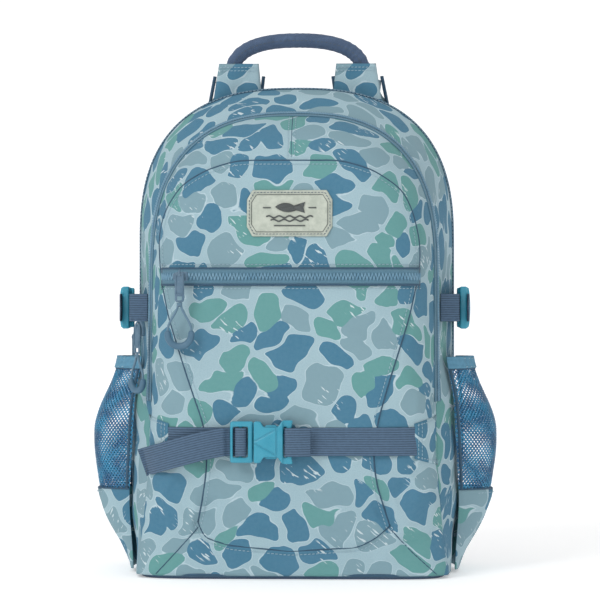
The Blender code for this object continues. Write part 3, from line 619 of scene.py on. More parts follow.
def camo(name="printed_cloth", shift=(0.0, 0.0, 0.0), space="UV", turn=(0.0, 0.0, 0.0)):
    """Printed cloth: rounded cells in three colours, pale channels, haloes, scratches and a weave."""
    f = Finish(name, roughness=0.72, sheen=0.03, specular=0.2)
    at = f.stretched(f.coords(space), (1.0, 1.0, 1.0), turn, shift)
    drift = f.vector("SUBTRACT", f.noise(at, 19.0, 0.0, out="Color"), (0.5, 0.5, 0.5))
    ripple = f.vector("SUBTRACT", f.noise(at, 50.0, 0.0, out="Color"), (0.5, 0.5, 0.5))
    bent = f.vector("ADD", at, f.vector("MULTIPLY", drift, (0.030, 0.030, 0.0)))
    bent = f.vector("ADD", bent, f.vector("MULTIPLY", ripple, (0.017, 0.017, 0.0)))
    cells = f.stretched(bent, (34.0, 41.0, 1.0), turn=(0.0, 0.0, 0.5))
    settings = {"voronoi_dimensions": "2D"}
    near = {"Vector": cells, "Scale": 1.0, "Randomness": 0.80}
    edge = 0.0
    for x, y in ((0.0, 0.0), (0.07, 0.07), (-0.07, 0.07), (0.07, -0.07), (-0.07, -0.07)):
        moved = {**near, "Vector": f.vector("ADD", cells, (x, y, 0.0))}
        edge = f.node("ShaderNodeTexVoronoi", moved, feature="DISTANCE_TO_EDGE", **settings) * 0.2 + edge
    first = f.node("ShaderNodeTexVoronoi", near, feature="F1", **settings)
    tint = Socket(f, first.socket.node.outputs["Color"])
    rounding = f.step(first, 0.28, 0.86) * 0.17
    reach = edge - rounding + (f.noise(at, 420.0, 1.0) - 0.5) * 0.01
    blob = f.step(reach, 0.030, 0.041)
    halo = f.step(reach, 0.008, 0.017) * (1 - f.step(reach, 0.026, 0.035))
    pick, _, _ = f.parts(tint)
    colour = f.node("ShaderNodeValToRGB", {"Fac": pick}, stops=[
        (0.0, BLUE), (0.45, GREY), (0.70, GREEN)])
    colour.socket.node.color_ramp.interpolation = "CONSTANT"
    faded = f.mix(f.noise(at, 300.0, 3.0, 0.7) * 0.14, colour, CHANNEL)
    grain = f.step(f.noise(at, 900.0, 3.0, 0.65), 0.42, 0.62)
    ground = f.mix(grain * 0.3, CHANNEL, CHANNEL_DARK)
    ground = f.mix(halo * 0.75, ground, srgb(196, 216, 224))
    slanted = f.stretched(at, (1.0, 1.0, 1.0), turn=(0.0, 0.0, 0.7))
    flecks = f.noise(f.stretched(slanted, (80.0, 400.0, 1.0)), 1.0, 1.5, 0.6)
    groups = f.node("ShaderNodeTexVoronoi", {"Vector": at, "Scale": 26.0, "Randomness": 1.0}, **settings)
    chosen, _, _ = f.parts(Socket(f, groups.socket.node.outputs["Color"]))
    scratch = f.step(flecks, 0.60, 0.64) * f.step(chosen, 0.50, 0.54) * (1 - f.step(groups, 0.26, 0.40))
    ink = f.mix(scratch * 0.9, faded, SCRATCH)
    print_colour = f.mix(blob, ground, ink)
    wear = f.noise(f.coords("Object"), 9.0, 3.0)
    print_colour = f.mix(f.step(wear, 0.3, 0.75) * 0.10, print_colour, srgb(120, 150, 170))
    f.set("Base Color", print_colour)
    f.set("Roughness", 0.66 + f.noise(at, 120.0, 2.0) * 0.16)
    height = weave(f, at) * 0.35 + f.noise(at, 60.0, 3.0, 0.6) * 1.4 + f.noise(at, 1400.0, 1.0) * 0.25
    f.bump(height, 0.0006, 0.60)
    return f.material


def webbing(name, colour, pitch=0.0021, deep=0.0005):
    """Woven webbing: round ribs along its length and a slanted thread across each."""
    f = Finish(name, roughness=0.75, sheen=0.04, specular=0.2)
    at = f.coords()
    u, v, _ = f.parts(at)
    ribs = f.size(f.sine(v * (math.pi / pitch)))
    threads = f.sine((u + v * 0.6) * (2 * math.pi / 0.0011))
    mottle = f.noise(at, 260.0, 3.0, 0.7)
    # Painted shade: the grooves between the ribs are darkened to 0.42 of the colour.
    shade = f.mix(f.step(ribs, 0.0, 0.75), shaded(colour, 0.42), colour)
    shade = f.mix(f.step(mottle, 0.35, 0.7) * 0.18, shade, shaded(colour, 1.5))
    f.set("Base Color", f.mix((threads * 0.5 + 0.5) * 0.16, shade, shaded(colour, 0.5)))
    f.set("Roughness", 0.68 + mottle * 0.18)
    f.bump(ribs + threads * 0.16 + mottle * 0.2, deep, 0.8)
    return f.material


def tape(name, colour):
    """Zipper or edge tape: fine twill lines across and a felted surface."""
    f = Finish(name, roughness=0.8, sheen=0.1, specular=0.25)
    at = f.coords()
    u, v, _ = f.parts(at)
    twill = f.sine((u + v) * (2 * math.pi / 0.0009))
    fuzz = f.noise(at, 900.0, 3.0, 0.7)
    dark = shaded(colour, 0.62)
    f.set("Base Color", f.mix((twill * 0.5 + 0.5) * 0.35 + f.step(fuzz, 0.4, 0.7) * 0.3, colour, dark))
    f.set("Roughness", 0.74 + fuzz * 0.15)
    f.bump(twill * 0.5 + fuzz, 0.0003, 0.7)
    return f.material


def plastic(name, colour, light, roughness=0.38, grain=1400.0):
    """Moulded plastic: a fine spark texture, faint flow clouds and rubbed, lighter patches."""
    f = Finish(name, roughness=roughness)
    at = f.coords("Object")
    cloud = f.noise(at, 90.0, 3.0)
    spark = f.noise(at, grain, 2.0, 0.6)
    rubbed = f.step(f.noise(at, 320.0, 4.0, 0.75), 0.60, 0.72)
    shade = f.mix(f.step(cloud, 0.3, 0.7) * 0.35, colour, light)
    f.set("Base Color", f.mix(rubbed * 0.25, shade, light))
    f.set("Roughness", roughness - 0.08 + f.step(spark, 0.3, 0.7) * 0.18)
    f.bump(spark + cloud * 0.3, 0.00012, 0.5)
    return f.material


def painted_metal(name, colour, bare):
    """Painted die casting: satin paint, worn through to metal in small flecks."""
    f = Finish(name, roughness=0.42)
    at = f.coords("Object")
    worn = f.step(f.noise(at, 520.0, 4.0, 0.75), 0.64, 0.70)
    f.set("Base Color", f.mix(worn * 0.8, f.mix(f.noise(at, 200.0) * 0.4, colour, bare), bare))
    f.set("Metallic", worn * 0.8)
    f.set("Roughness", 0.45 - worn * 0.12 + f.noise(at, 800.0) * 0.1)
    f.bump(f.noise(at, 700.0, 3.0), 0.00015, 0.4)
    return f.material


def netting(name):
    """Knitted net: two crossed sets of threads round open diamonds, with painted highlights: pale glints along
    the filaments.
    """
    f = Finish(name, roughness=0.34, specular=0.6)
    at = f.coords()
    u, v, _ = f.parts(at)
    turn = math.pi / 0.0042
    one = f.sine((u * 1.25 + v) * turn)
    two = f.sine((u * 1.25 - v) * turn)
    one = f.size(one)
    two = f.size(two)
    gap = f.node("ShaderNodeMath", {0: one, 1: two}, operation="MINIMUM")
    thread = 1 - f.step(gap, 0.58, 0.70)
    drawn_out = f.stretched(at, (1.0, 2.6, 1.0), turn=(0.0, 0.0, 0.6))
    # Painted highlight: pale streaks on the threads stand in for light glinting off the filaments.
    glint = f.step(f.noise(drawn_out, 420.0, 3.0, 0.7), 0.58, 0.68)
    cloud = f.noise(at, 70.0, 3.0)
    body = f.mix(f.step(cloud, 0.35, 0.65), srgb(10, 92, 138), srgb(38, 136, 180))
    f.set("Base Color", f.mix(glint * 0.85, body, srgb(196, 226, 244)))
    f.set("Alpha", thread)
    f.set("Roughness", 0.30 + cloud * 0.2)
    f.bump(1 - gap, 0.0006, 0.6)
    return f.material


def patch_skin(name):
    """Imitation leather: a pebbled grain over soft mottling."""
    f = Finish(name, roughness=0.55, specular=0.35)
    at = f.coords()
    pebble = f.node("ShaderNodeTexVoronoi", {"Vector": at, "Scale": 900.0}, feature="SMOOTH_F1")
    mottle = f.noise(at, 110.0, 4.0, 0.65)
    shade = f.mix(f.step(mottle, 0.3, 0.7), srgb(176, 184, 172), srgb(198, 204, 192))
    f.set("Base Color", f.mix(f.step(pebble, 0.5, 1.0) * 0.25, shade, srgb(150, 156, 148)))
    f.set("Roughness", 0.5 + mottle * 0.15)
    f.bump(pebble * 0.6 + mottle, 0.0003, 0.5)
    return f.material


def lining_cloth(name, colour, scale=0.0012):
    """Plain lining: a visible plain weave with slubs."""
    f = Finish(name, roughness=0.8, sheen=0.1, specular=0.3)
    at = f.coords()
    slub = f.noise(f.stretched(at, (1.0, 9.0, 1.0)), 220.0, 3.0, 0.6)
    dark = shaded(colour, 0.6)
    f.set("Base Color", f.mix(weave(f, at, scale) * 0.4 + f.step(slub, 0.4, 0.7) * 0.4, colour, dark))
    f.set("Roughness", 0.72 + slub * 0.2)
    f.bump(weave(f, at, scale) + slub, 0.0003, 0.7)
    return f.material


def spacer_mesh(name, colour):
    """Padded spacer net: rows of small round holes, painted dark as the shade inside them."""
    f = Finish(name, roughness=0.85, sheen=0.2, specular=0.2)
    at = f.coords("Object")
    x, y, z = f.parts(at)
    turn = 2 * math.pi / 0.0038
    across = f.sine(x * turn)
    down = f.sine(z * turn)
    hole = f.step(across * down, 0.25, 0.7)
    fuzz = f.noise(at, 800.0, 3.0, 0.7)
    dark = shaded(colour, 0.35)
    pale = shaded(colour, 1.6)
    # Painted shade: the holes are darkened to 0.35 of the colour.
    f.set("Base Color", f.mix(hole * 0.85, f.mix(f.step(fuzz, 0.35, 0.7) * 0.5, colour, pale), dark))
    f.set("Roughness", 0.78 + fuzz * 0.15)
    f.bump(fuzz * 0.4 - hole, 0.0008, 0.8)
    return f.material


def thread(name, colour):
    """Sewing thread: a twist across each stitch and uneven colour."""
    f = Finish(name, roughness=0.6, sheen=0.1)
    at = f.coords("Object")
    x, y, z = f.parts(at)
    twist = f.sine((x + z) * (2 * math.pi / 0.0005))
    patchy = f.noise(at, 400.0, 2.0)
    dark = shaded(colour, 0.6)
    f.set("Base Color", f.mix((twist * 0.5 + 0.5) * 0.3 + patchy * 0.3, colour, dark))
    f.set("Roughness", 0.55 + patchy * 0.2)
    f.bump(twist, 0.0001, 0.5)
    return f.material


CAMO = camo()
CAMO_SIDE = camo("printed_side_cloth", (0.313, 0.171, 0.0))
CAMO_STRAP = camo("printed_strap_cloth", (0.1, 0.27, 0.0), "Object", (-math.pi / 2, 0.0, 0.0))
WEBBING = webbing("slate_webbing", srgb(88, 112, 137))
WEB_BACK = webbing("back_webbing", srgb(70, 90, 118), 0.0018)
HANDLE_CLOTH = webbing("handle_cloth", srgb(98, 120, 152), 0.0016, 0.0003)
TAPE = tape("zip_tape", srgb(104, 146, 168))
TAPE_DARK = tape("zip_edge_tape", srgb(74, 108, 134))
TEETH = plastic("zip_teeth", srgb(98, 142, 168), srgb(150, 186, 204), 0.40)
BUCKLE = plastic("buckle_plastic", srgb(52, 148, 174), srgb(76, 170, 194), 0.34)
METAL = painted_metal("slider_metal", srgb(66, 100, 124), srgb(150, 172, 188))
RUBBER = plastic("pull_rubber", srgb(70, 106, 130), srgb(92, 128, 150), 0.5, 900.0)
CORD = thread("pull_cord", srgb(104, 138, 160))
NET = netting("mesh_net")
ELASTIC = webbing("elastic_band", srgb(108, 163, 192), 0.0012, 0.0004)
PATCH = patch_skin("patch_leather")
PATCH_INK = tape("patch_ink", srgb(104, 110, 110))
LINING = lining_cloth("lining_cloth", srgb(140, 152, 164))
BOARD = lining_cloth("board_cloth", srgb(74, 92, 118), 0.0009)
PAD_MESH = spacer_mesh("pad_mesh", srgb(72, 90, 116))
STITCH = thread("stitch_thread", srgb(168, 198, 212))
STITCH_DARK = thread("dark_thread", srgb(92, 108, 122))
# Dark tape for the side band's piping cords, and for the dark tubes on the front's seams, which are painted shade
# of the seam grooves.
SEAM_SHADE_AND_PIPING = tape("seam_shade_and_piping", srgb(70, 104, 130))


# the front, one cloth from the base to the top of the zipper
FLAP_LOW = (0.0, -0.0478, HINGE_Z)
FLAP_HIGH = (0.0, -0.0478, 0.200)
ZIP_LOW = 0.158
COLUMNS = 321


def on_flap(piece, slot, *replaced):
    """As stand_in, for a piece of the front that starts on the shell and ends on the flap."""
    if replaced:
        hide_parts(*replaced)
    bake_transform(piece, "shell", "flap", FLAP_LOW, FLAP_HIGH)


def build_front():
    """Columns at even angles of a half turn, from the base to a superellipse arch, closer near the rim."""
    u = np.sin(np.linspace(-math.pi / 2, math.pi / 2, 161))
    v = np.linspace(0.0, 1.0, 171)
    v = 1 - (1 - v) ** 1.35
    z = FOOT + (arch_top(u, ZIP_HEIGHT)[None, :] - FOOT) * v[:, None]
    x = u[None, :] * zip_half_width(z)
    grid = on_front(xyz(x, z))
    cloth = sheet("front_cloth", grid, 0.0018, CAMO)
    on_flap(cloth, "camo_cloth", "lower_front", "flap_fold", "front_panel")

    # These dark tubes are painted shade: they stand in for the shadow in the grooves of the arch, centre and
    # corner seams.
    for name, line, radius in (("arch_seam_shade", ARCH, 0.00075), ("arch_foot_seam_shade", ARCH_BOTTOM, 0.0006),
                               ("centre_seam_shade", resample(CENTRE_SEAM, 40), 0.0005),
                               ("corner_seam_shade_left", resample(CORNER_SEAMS[0], 40), 0.0006),
                               ("corner_seam_shade_right", resample(CORNER_SEAMS[1], 40), 0.0006)):
        seam = tube(name, on_front(line, -0.00015), radius, SEAM_SHADE_AND_PIPING, 6)
        on_flap(seam, "camo_cloth")
    inner = ARCH + sideways(ARCH) * -0.0035
    rows = [stitch_line("arch_stitches", on_front(inner), front_normal(inner), STITCH)]
    for side in (-1, 1):
        line = resample(CENTRE_SEAM, 40) + [side * 0.003, 0.0]
        rows.append(stitch_line("centre_stitches", on_front(line), front_normal(line), STITCH))
    inner = ARCH_BOTTOM + sideways(ARCH_BOTTOM) * 0.0035
    rows.append(stitch_line("foot_stitches", on_front(inner), front_normal(inner), STITCH))
    on_flap(join("front_stitches", rows), "camo_cloth")


def sideways(line):
    """The flat direction across a line, to the left of its run: away from the middle of an outline."""
    along = unit(np.gradient(line, axis=0))
    return xyz(-along[:, 1], along[:, 0])


def on_band(near, far, t, out=0.0):
    """Points on the side band between the zipper's outline and the rear edge, moved outwards."""
    x = near[:, 0] + (far[:, 0] - near[:, 0]) * t
    z = near[:, 1] + (far[:, 1] - near[:, 1]) * t
    start = zip_plane(near[:, 1]) + 0.0015
    y = start + (MAIN_REAR_Y - start) * t
    up = np.maximum(0.0, z - HINGE_Z) / BAG_HEIGHT
    reach = np.maximum(np.hypot(x / BACK_HALF_WIDTH, up), 1e-6)
    wave = 0.0011 * np.sin(z * 95 + x * 40 + 5 * t) * np.sin(z * 33 - 3 * t + 1.0) * math.sin(math.pi * t)
    move = side_puff(z) * math.sin(math.pi * t) + out + wave * (1.0 if out == 0.0 else 0.0)
    return xyz(x + move * x / BACK_HALF_WIDTH / reach, y, z + move * up / reach)


def chain(name, path, normal, finish, pitch=0.0024, size=(0.0014, 0.0034, 0.0013), shift=0.0, side=0.0,
          slant=0.0):
    """Zipper teeth in a row along a path, each a block across it."""
    along = lengths(path)
    count = int(along[-1] / pitch)
    at = (np.arange(count) + 0.5 + shift) * pitch
    at = at[at < along[-1]]
    spots = part_way(path, at)
    off = unit(part_way(normal, at, along))
    axes = line_axes(spots, off, slant)
    return repeated(name, block(*size), spots + axes[:, 1] * side, axes, finish)


def build_sides():
    near = hoop(zip_half_width, ZIP_HEIGHT, count=COLUMNS)
    far = hoop(back_half_width, BAG_HEIGHT, count=COLUMNS)
    grid = np.stack([on_band(near, far, t) for t in np.linspace(0.0, 1.0, 41)])
    band = sheet("side_cloth", grid, 0.0018, CAMO_SIDE)
    stand_in(band, "camo_cloth", "shell", "main_gusset")

    high_near = hoop(zip_half_width, ZIP_HEIGHT, ZIP_LOW, COLUMNS)
    high_far = hoop(back_half_width, BAG_HEIGHT, ZIP_LOW, COLUMNS)
    grid = np.stack([on_band(high_near, high_far, t, 0.0007) for t in np.linspace(0.004, 0.062, 4)])
    outer = sheet("outer_zip_tape", grid, 0.0008, TAPE, offset=1.0)
    stand_in(outer, "zip_tape", "shell", "main_zipper_outer_tape")
    depths = (0.0098, 0.0075, 0.0050, 0.0026, 0.0010)
    grid = np.stack([rim_line(high_near, depth, 0.0004) for depth in depths])
    inner = sheet("inner_zip_tape", grid, 0.0009, TAPE, offset=1.0)
    on_flap(inner, "zip_tape", "main_zipper_inner_tape")
    middle = on_band(high_near, high_far, 0.0, 0.0016)
    away = unit(middle - np.array([0.0, 0.02, 0.20]))
    away[:, 1] = -0.45
    away = unit(away)
    rows = chain("outer_teeth", middle, away, TEETH, side=0.0007)
    stand_in(rows, "zip_tape", "shell")
    second = chain("inner_teeth", middle, away, TEETH, shift=0.5, side=-0.0007)
    on_flap(second, "zip_tape")

    outline = hoop(back_half_width, BAG_HEIGHT, count=COLUMNS)
    out = sideways(outline)

    def band_at(ys, lift=0.0):
        moved = outline + out * lift
        return np.stack([xyz(moved[:, 0], y, moved[:, 1]) for y in ys])

    strip = sheet("sleeve_zip_tape", band_at(np.linspace(0.0470, 0.0548, 5)), 0.0016, TAPE)
    stand_in(strip, "zip_tape", "shell", "sleeve_zipper_tape")
    rear = sheet("sleeve_cloth", band_at(np.linspace(0.0550, 0.0656, 5)), 0.0018, CAMO)
    stand_in(rear, "camo_cloth", "shell", "sleeve_gusset")
    line = band_at([0.0510], 0.0002)[0]
    normal = xyz(out[:, 0], 0.0, out[:, 1])
    rows = [chain(name, line, normal, TEETH, 0.0030, (0.0017, 0.0040, 0.0017), shift, side)
            for name, shift, side in (("sleeve_teeth", 0.0, 0.0006), ("sleeve_teeth_b", 0.5, -0.0006))]
    stand_in(join("sleeve_teeth", rows), "zip_tape", "shell")
    for name, y, radius in (("rear_piping", 0.0668, 0.0019), ("band_piping", 0.0463, 0.0010)):
        cord = tube(name, band_at([y], 0.0004)[0], radius, SEAM_SHADE_AND_PIPING, 8)
        stand_in(cord, "camo_cloth", "shell")
    rows = []
    for y in (0.0440, 0.0570):
        line = band_at([y], 0.0003)[0]
        rows.append(stitch_line("band_stitches", line, normal, STITCH))
    stand_in(join("band_stitches", rows), "camo_cloth", "shell")


def rim_line(rim, depth, lift):
    """The front's line at a depth ahead of the zipper plane, from the outline and the rim's power."""
    share = (1 - (depth / BULGE_HIGH) ** (1 / RIM_TURN)) ** (1 / RIM_POWER / CORNER_POWER)
    shoulder = ZIP_HEIGHT - CORNER_DROP
    high = np.where(rim[:, 1] > shoulder, shoulder + (rim[:, 1] - shoulder) * share, rim[:, 1])
    return xyz(rim[:, 0] * share, zip_plane(high) - depth - lift, high)


def build_pocket_zip():
    xs = np.linspace(-0.118, 0.115, 90)
    x, z = np.meshgrid(xs, np.linspace(POCKET_ZIP_Z - 0.0068, POCKET_ZIP_Z + 0.0068, 4))
    strip = sheet("pocket_zip_tape", xyz(x, front_y(x, z, 0.0016), z), 0.0009, TAPE, offset=1.0)
    stand_in(strip, "zip_tape", "flap", "pocket_zipper_tape")
    parts = []
    for z in (POCKET_ZIP_Z - 0.0072, POCKET_ZIP_Z + 0.0072):
        parts.append(tube("pocket_zip_edge", laid(xs, z, 0.0018), 0.0011, TAPE_DARK, 8))
    stand_in(join("pocket_zip_edge", parts), "zip_tape", "flap")
    line = laid(xs, POCKET_ZIP_Z, 0.0026)
    normal = front_normal(line[:, [0, 2]])
    size = (0.0011, 0.0066, 0.0013)
    rows = [chain(name, line, normal, TEETH, 0.0031, size, shift, slant=slant)
            for name, shift, slant in (("pocket_teeth", 0.0, 0.26), ("pocket_teeth_b", 0.5, -0.26))]
    stand_in(join("pocket_teeth", rows), "zip_tape", "flap")
    rows = []
    for z in (POCKET_ZIP_Z - 0.0108, POCKET_ZIP_Z + 0.0108):
        line = xyz(xs, z)
        rows.append(stitch_line("zip_stitches", on_front(line), front_normal(line), STITCH))
    for x in (-0.1175, 0.1145):
        line = xyz(x, np.linspace(POCKET_ZIP_Z - 0.011, POCKET_ZIP_Z + 0.011, 20))
        rows.append(stitch_line("zip_bars", on_front(line, 0.0024), front_normal(line), STITCH_DARK, 0.0014))
    stand_in(join("pocket_zip_stitches", rows), "camo_cloth", "flap")
    x, z = np.meshgrid(np.linspace(-0.105, 0.105, 61), np.linspace(0.184, 0.286, 31))
    hang = np.sin(np.clip((z - 0.182) / 0.105, 0, 1) * math.pi) ** 0.5
    deep = 0.005 + 0.0195 * (1 - np.abs(x / 0.105) ** 4) * hang
    bag = sheet("pocket_bag", xyz(x, front_y(x, z) + deep, z), 0.0008, LINING)
    stand_in(bag, "lining", "flap", "pocket_lining")


PATCH_X, PATCH_Z, PATCH_WIDE, PATCH_TALL = -0.002, 0.328, 0.077, 0.042


def on_patch(u, v, lift=0.0):
    """Points on the patch for u and v from -1 to 1 across and up."""
    x = PATCH_X + u * PATCH_WIDE / 2
    z = PATCH_Z + v * PATCH_TALL / 2
    return xyz(x, front_y(x, z, 0.0024 + lift), z)


def patch_reach(u):
    """The patch's half height: full over the middle, narrowing in a straight line to its short ends."""
    return np.minimum(1.0, (1 - np.abs(u)) / 0.13 * 0.42 + 0.58)


def patch_ring(inset):
    """A line inside the patch's edge, an even distance in from it."""
    wide, tall = 1 - inset / (PATCH_WIDE / 2), 1 - inset / (PATCH_TALL / 2)
    corners = np.array([(1, -0.58), (1, 0.58), (0.87, 1), (-0.87, 1), (-1, 0.58), (-1, -0.58),
                        (-0.87, -1), (0.87, -1), (1, -0.58)]) * [wide, tall]
    scaled = resample(corners * [PATCH_WIDE / 2, PATCH_TALL / 2], 241)
    return scaled / [PATCH_WIDE / 2, PATCH_TALL / 2]


def drawn(name, outline, finish):
    """A flat emblem piece on the patch: a closed outline in millimetres, fanned in rings to its middle."""
    ring = np.asarray(outline, float) / [PATCH_WIDE * 500, PATCH_TALL * 500]
    middle = ring.mean(0)
    grid = np.stack([middle + (ring - middle) * s for s in (0.001, 0.5, 1.0)])
    grid = np.concatenate([grid, grid[:, :1]], 1)
    points = on_patch(grid[..., 0], grid[..., 1], 0.0004)
    return sheet(name, points, 0.0004, finish, offset=1.0)


def patch_line(name, line, radius):
    """A thin raised line on the patch, from points in millimetres from its middle."""
    points = on_patch(line[:, 0] / (PATCH_WIDE * 500), line[:, 1] / (PATCH_TALL * 500), 0.0001)
    return tube(name, points, radius, PATCH_INK, 6)


def fish_outline():
    """A leaping fish: a sine-shaped back and belly from the nose to a forked tail."""
    t = np.linspace(0, 1, 24)
    back = xyz(-13 + 20 * t, 5.6 + 4.2 * np.sin(math.pi * t) ** 0.8 - 1.2 * t)
    tail = np.array([(10.5, 6.6), (14.0, 10.2), (12.4, 4.8), (13.8, 0.2), (9.8, 3.0)])
    belly = xyz(7 - 20 * t, 3.4 - 3.4 * np.sin(math.pi * t) ** 0.8 + 2.2 * t)
    return np.concatenate([back, tail, belly])


def build_patch():
    u = signed_power(np.linspace(-1, 1, 61), 0.85)
    v = signed_power(np.linspace(-1, 1, 27), 0.8)
    edge = patch_reach(u)
    uu = np.broadcast_to(u, (27, 61))
    vv = v[:, None] * edge[None, :]
    near = np.minimum((1 - np.abs(uu)) * PATCH_WIDE / 2, (edge[None, :] - np.abs(vv)) * PATCH_TALL / 2)
    frame_line = np.exp(-((near - 0.0042) / 0.0007) ** 2)
    crown = 0.0008 * smooth(near / 0.0016) - 0.0004 * frame_line
    patch = sheet("label_skin", on_patch(uu, vv, crown - 0.0010), 0.0016, PATCH)
    stand_in(patch, "patch_leather", "flap", "label_patch")
    ring = patch_ring(0.0022)
    path = on_patch(ring[:, 0], ring[:, 1], 0.0001)
    normal = front_normal(path[:, [0, 2]])
    sewn = stitch_line("label_stitches", path, normal, STITCH_DARK, 0.0030, long=0.0023)
    ring = patch_ring(0.0042)
    frame_path = on_patch(ring[:, 0], ring[:, 1], -0.0001)
    pressed = tube("label_frame", frame_path, 0.00025, PATCH_INK, 6)
    t = np.linspace(0, 1, 40)
    waves = []
    for k, (x0, x1) in enumerate(((-21, 21), (-17, 17))):
        centre = xyz(x0 + (x1 - x0) * t, -3.2 - 3.2 * k + 0.9 * np.sin(t * math.pi * (9 - 2 * k)))
        waves.append(patch_line("label_wave", centre, 0.00075))
    emblem = join("label_emblem", [drawn("label_fish", fish_outline(), PATCH_INK), *waves, pressed])
    bars = []
    for x0, x1, z in ((-24, -17, 5.0), (17, 24, 5.0), (-14, 14, -11.2)):
        line = xyz(np.linspace(x0, x1, 12), z)
        bars.append(patch_line("label_bar", line, 0.0006))
    bars = join("label_bars", bars)
    for piece in (sewn, emblem, bars):
        stand_in(piece, "patch_leather", "flap")


def laid(xs, z, ahead):
    """Points at one height along the front, a distance ahead of it."""
    return xyz(xs, front_y(xs, z, ahead), z)


UP = np.array([0.0, 0.0, 1.0])
SIDES = ((-1, "left"), (1, "right"))
BAND = rounded_profile(WEB_WIDTH, WEB_THICK)
FRONT_BUCKLE = (BUCKLE_X, float(front_y(BUCKLE_X, STRAP_Z)) - 0.0095, STRAP_Z)


# webbing's turns round a buckle's bars, in the buckle's own plane: along it and towards the bag
BAR = 0.0245
ROUND_BODY = [(BAR + 0.008, -0.0040), (BAR, -0.0049), (BAR - 0.0040, -0.0046), (BAR - 0.0045, -0.0030),
              (BAR - 0.0045, 0.0030), (BAR - 0.0040, 0.0046), (BAR, 0.0049), (BAR + 0.006, 0.0044)]
ROUND_FRAME = [(-0.0330, 0.0067), (-0.0172, 0.0067), (-0.0154, 0.0056), (-0.0150, 0.0030), (-0.0150, 0.0),
               (-0.0160, -0.0028), (-0.0198, -0.0036), (-0.0234, -0.0028), (-0.0241, 0.0), (-0.0246, 0.0030),
               (-0.0262, 0.0044), (-0.0290, 0.0047), (-0.0330, 0.0045)]


def flat_turn(turn):
    """A turn's points with a height of nothing."""
    return np.pad(np.array(turn), ((0, 0), (0, 1)))


def build_front_strap():
    centre = np.array(FRONT_BUCKLE)
    buckle_y = FRONT_BUCKLE[1]
    loop = flat_turn(ROUND_FRAME) + centre
    run_end = BUCKLE_X - 0.0336
    run = np.concatenate([laid(np.linspace(-0.112, run_end - 0.014, 40), STRAP_Z, 0.0021),
                          [(run_end, buckle_y + 0.0067, STRAP_Z)]])
    piece = carried("strap_left", resample(run, 60, 2), UP, BAND, WEBBING)
    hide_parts("strap_left_run")
    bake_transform(piece, "shell", "front_buckle_plug", (-0.105, buckle_y, STRAP_Z), (run_end, buckle_y, STRAP_Z))

    t = np.linspace(0, 1, 41)[1:]
    x = loop[-1, 0] - 0.078 * t
    z = STRAP_Z - 0.021 * t ** 1.3
    y = np.minimum(front_y(x, z - WEB_WIDTH / 2), front_y(x, z + WEB_WIDTH / 2)) - 0.0057
    tail = xyz(x, y - 0.0045 * np.sin(math.pi * t) * (1 - 0.4 * t), z)
    path = resample(np.concatenate([loop, tail]), 150, 2)
    tilt = smooth((np.arange(150) / 149 - 0.45) / 0.55)[:, None]
    across = UP + tilt * np.array([-0.26, 0.0, 0.0])
    piece = carried("strap_tail", path, across, BAND, WEBBING)
    stand_in(piece, "slate_webbing", "front_buckle_plug", "strap_left_tail")
    hem = path[-1] + np.linspace(-1, 1, 12)[:, None] * UP * (WEB_WIDTH / 2 - 0.002)
    rows = []
    for back in (0.004, 0.0065):
        line = hem + [back, -0.0007, back * 0.26]
        rows.append(stitch_line("tail_hem", line, np.tile([0.0, -1.0, 0.0], (12, 1)), STITCH_DARK, 0.0025))
    stand_in(join("tail_hem", rows), "slate_webbing", "front_buckle_plug")

    loop = flat_turn([(BAR + 0.018, -0.0002), *ROUND_BODY]) + centre
    path = np.concatenate([loop, laid(np.linspace(BUCKLE_X + 0.045, 0.112, 50), STRAP_Z, 0.0021)])
    piece = carried("strap_right", resample(path, 130, 1), UP, BAND, WEBBING)
    stand_in(piece, "slate_webbing", "shell", "strap_right_run")
    for side, word in SIDES:
        build_strap_tab(side, word)


def build_strap_tab(side, word):
    """A trapezoid of cloth over the strap's end, whose height grows evenly towards the side seam."""
    share = np.linspace(-0.5, 0.5, 21)[:, None]
    grow = np.linspace(-0.10, 1.0, 17)[None, :]
    z = STRAP_Z + share * (TAB_TALL + TAB_GROWS * grow)
    x = np.minimum(TAB_X + TAB_LONG * grow, zip_half_width(z) - 0.0012)
    crown = 0.0010 * smooth((0.5 - np.abs(share)) / 0.10) * smooth((grow + 0.10) / 0.18)
    strap = 0.0011 * smooth((0.0145 - np.abs(z - STRAP_Z)) / 0.004) * smooth((0.55 - grow) / 0.5)
    grid = xyz(side * x, front_y(x, z, 0.0016) - crown - strap, z)
    tab = sheet("tab_" + word, grid, 0.0015, CAMO_SIDE)
    stand_in(tab, "camo_cloth", "shell", "strap_tab_" + word)
    rows = []
    for at in (0.06, 0.22):
        zs = np.linspace(-0.43, 0.43, 20) * (TAB_TALL + TAB_GROWS * at) + STRAP_Z
        x = TAB_X + TAB_LONG * at
        lift = 0.0016 + 0.0010 + 0.0011 * smooth((0.0145 - np.abs(zs - STRAP_Z)) / 0.004)
        line = xyz(side * x, front_y(x, zs) - lift, zs)
        rows.append(stitch_line("tab_stitches", line, front_normal(line[:, [0, 2]]), STITCH, 0.0030))
    for end in (-1, 1):
        at = np.linspace(0.06, 0.9, 12)
        zs = STRAP_Z + end * 0.43 * (TAB_TALL + TAB_GROWS * at)
        xs = np.minimum(TAB_X + TAB_LONG * at, zip_half_width(zs) - 0.002)
        line = xyz(side * xs, front_y(xs, zs) - 0.0025, zs)
        rows.append(stitch_line("tab_stitches", line, front_normal(line[:, [0, 2]]), STITCH, 0.0030))
    stand_in(join("tab_stitches_" + word, rows), "camo_cloth", "shell")


def side_frame(side, points):
    """Turns points of a buckle's own plane so that its length runs front to back at one side of the bag."""
    points = np.asarray(points, float)
    x, y = points[:, 0], points[:, 1]
    return np.array(SIDE_BUCKLE) * [side, 1, 1] + xyz(-side * y, -x, 0.0)


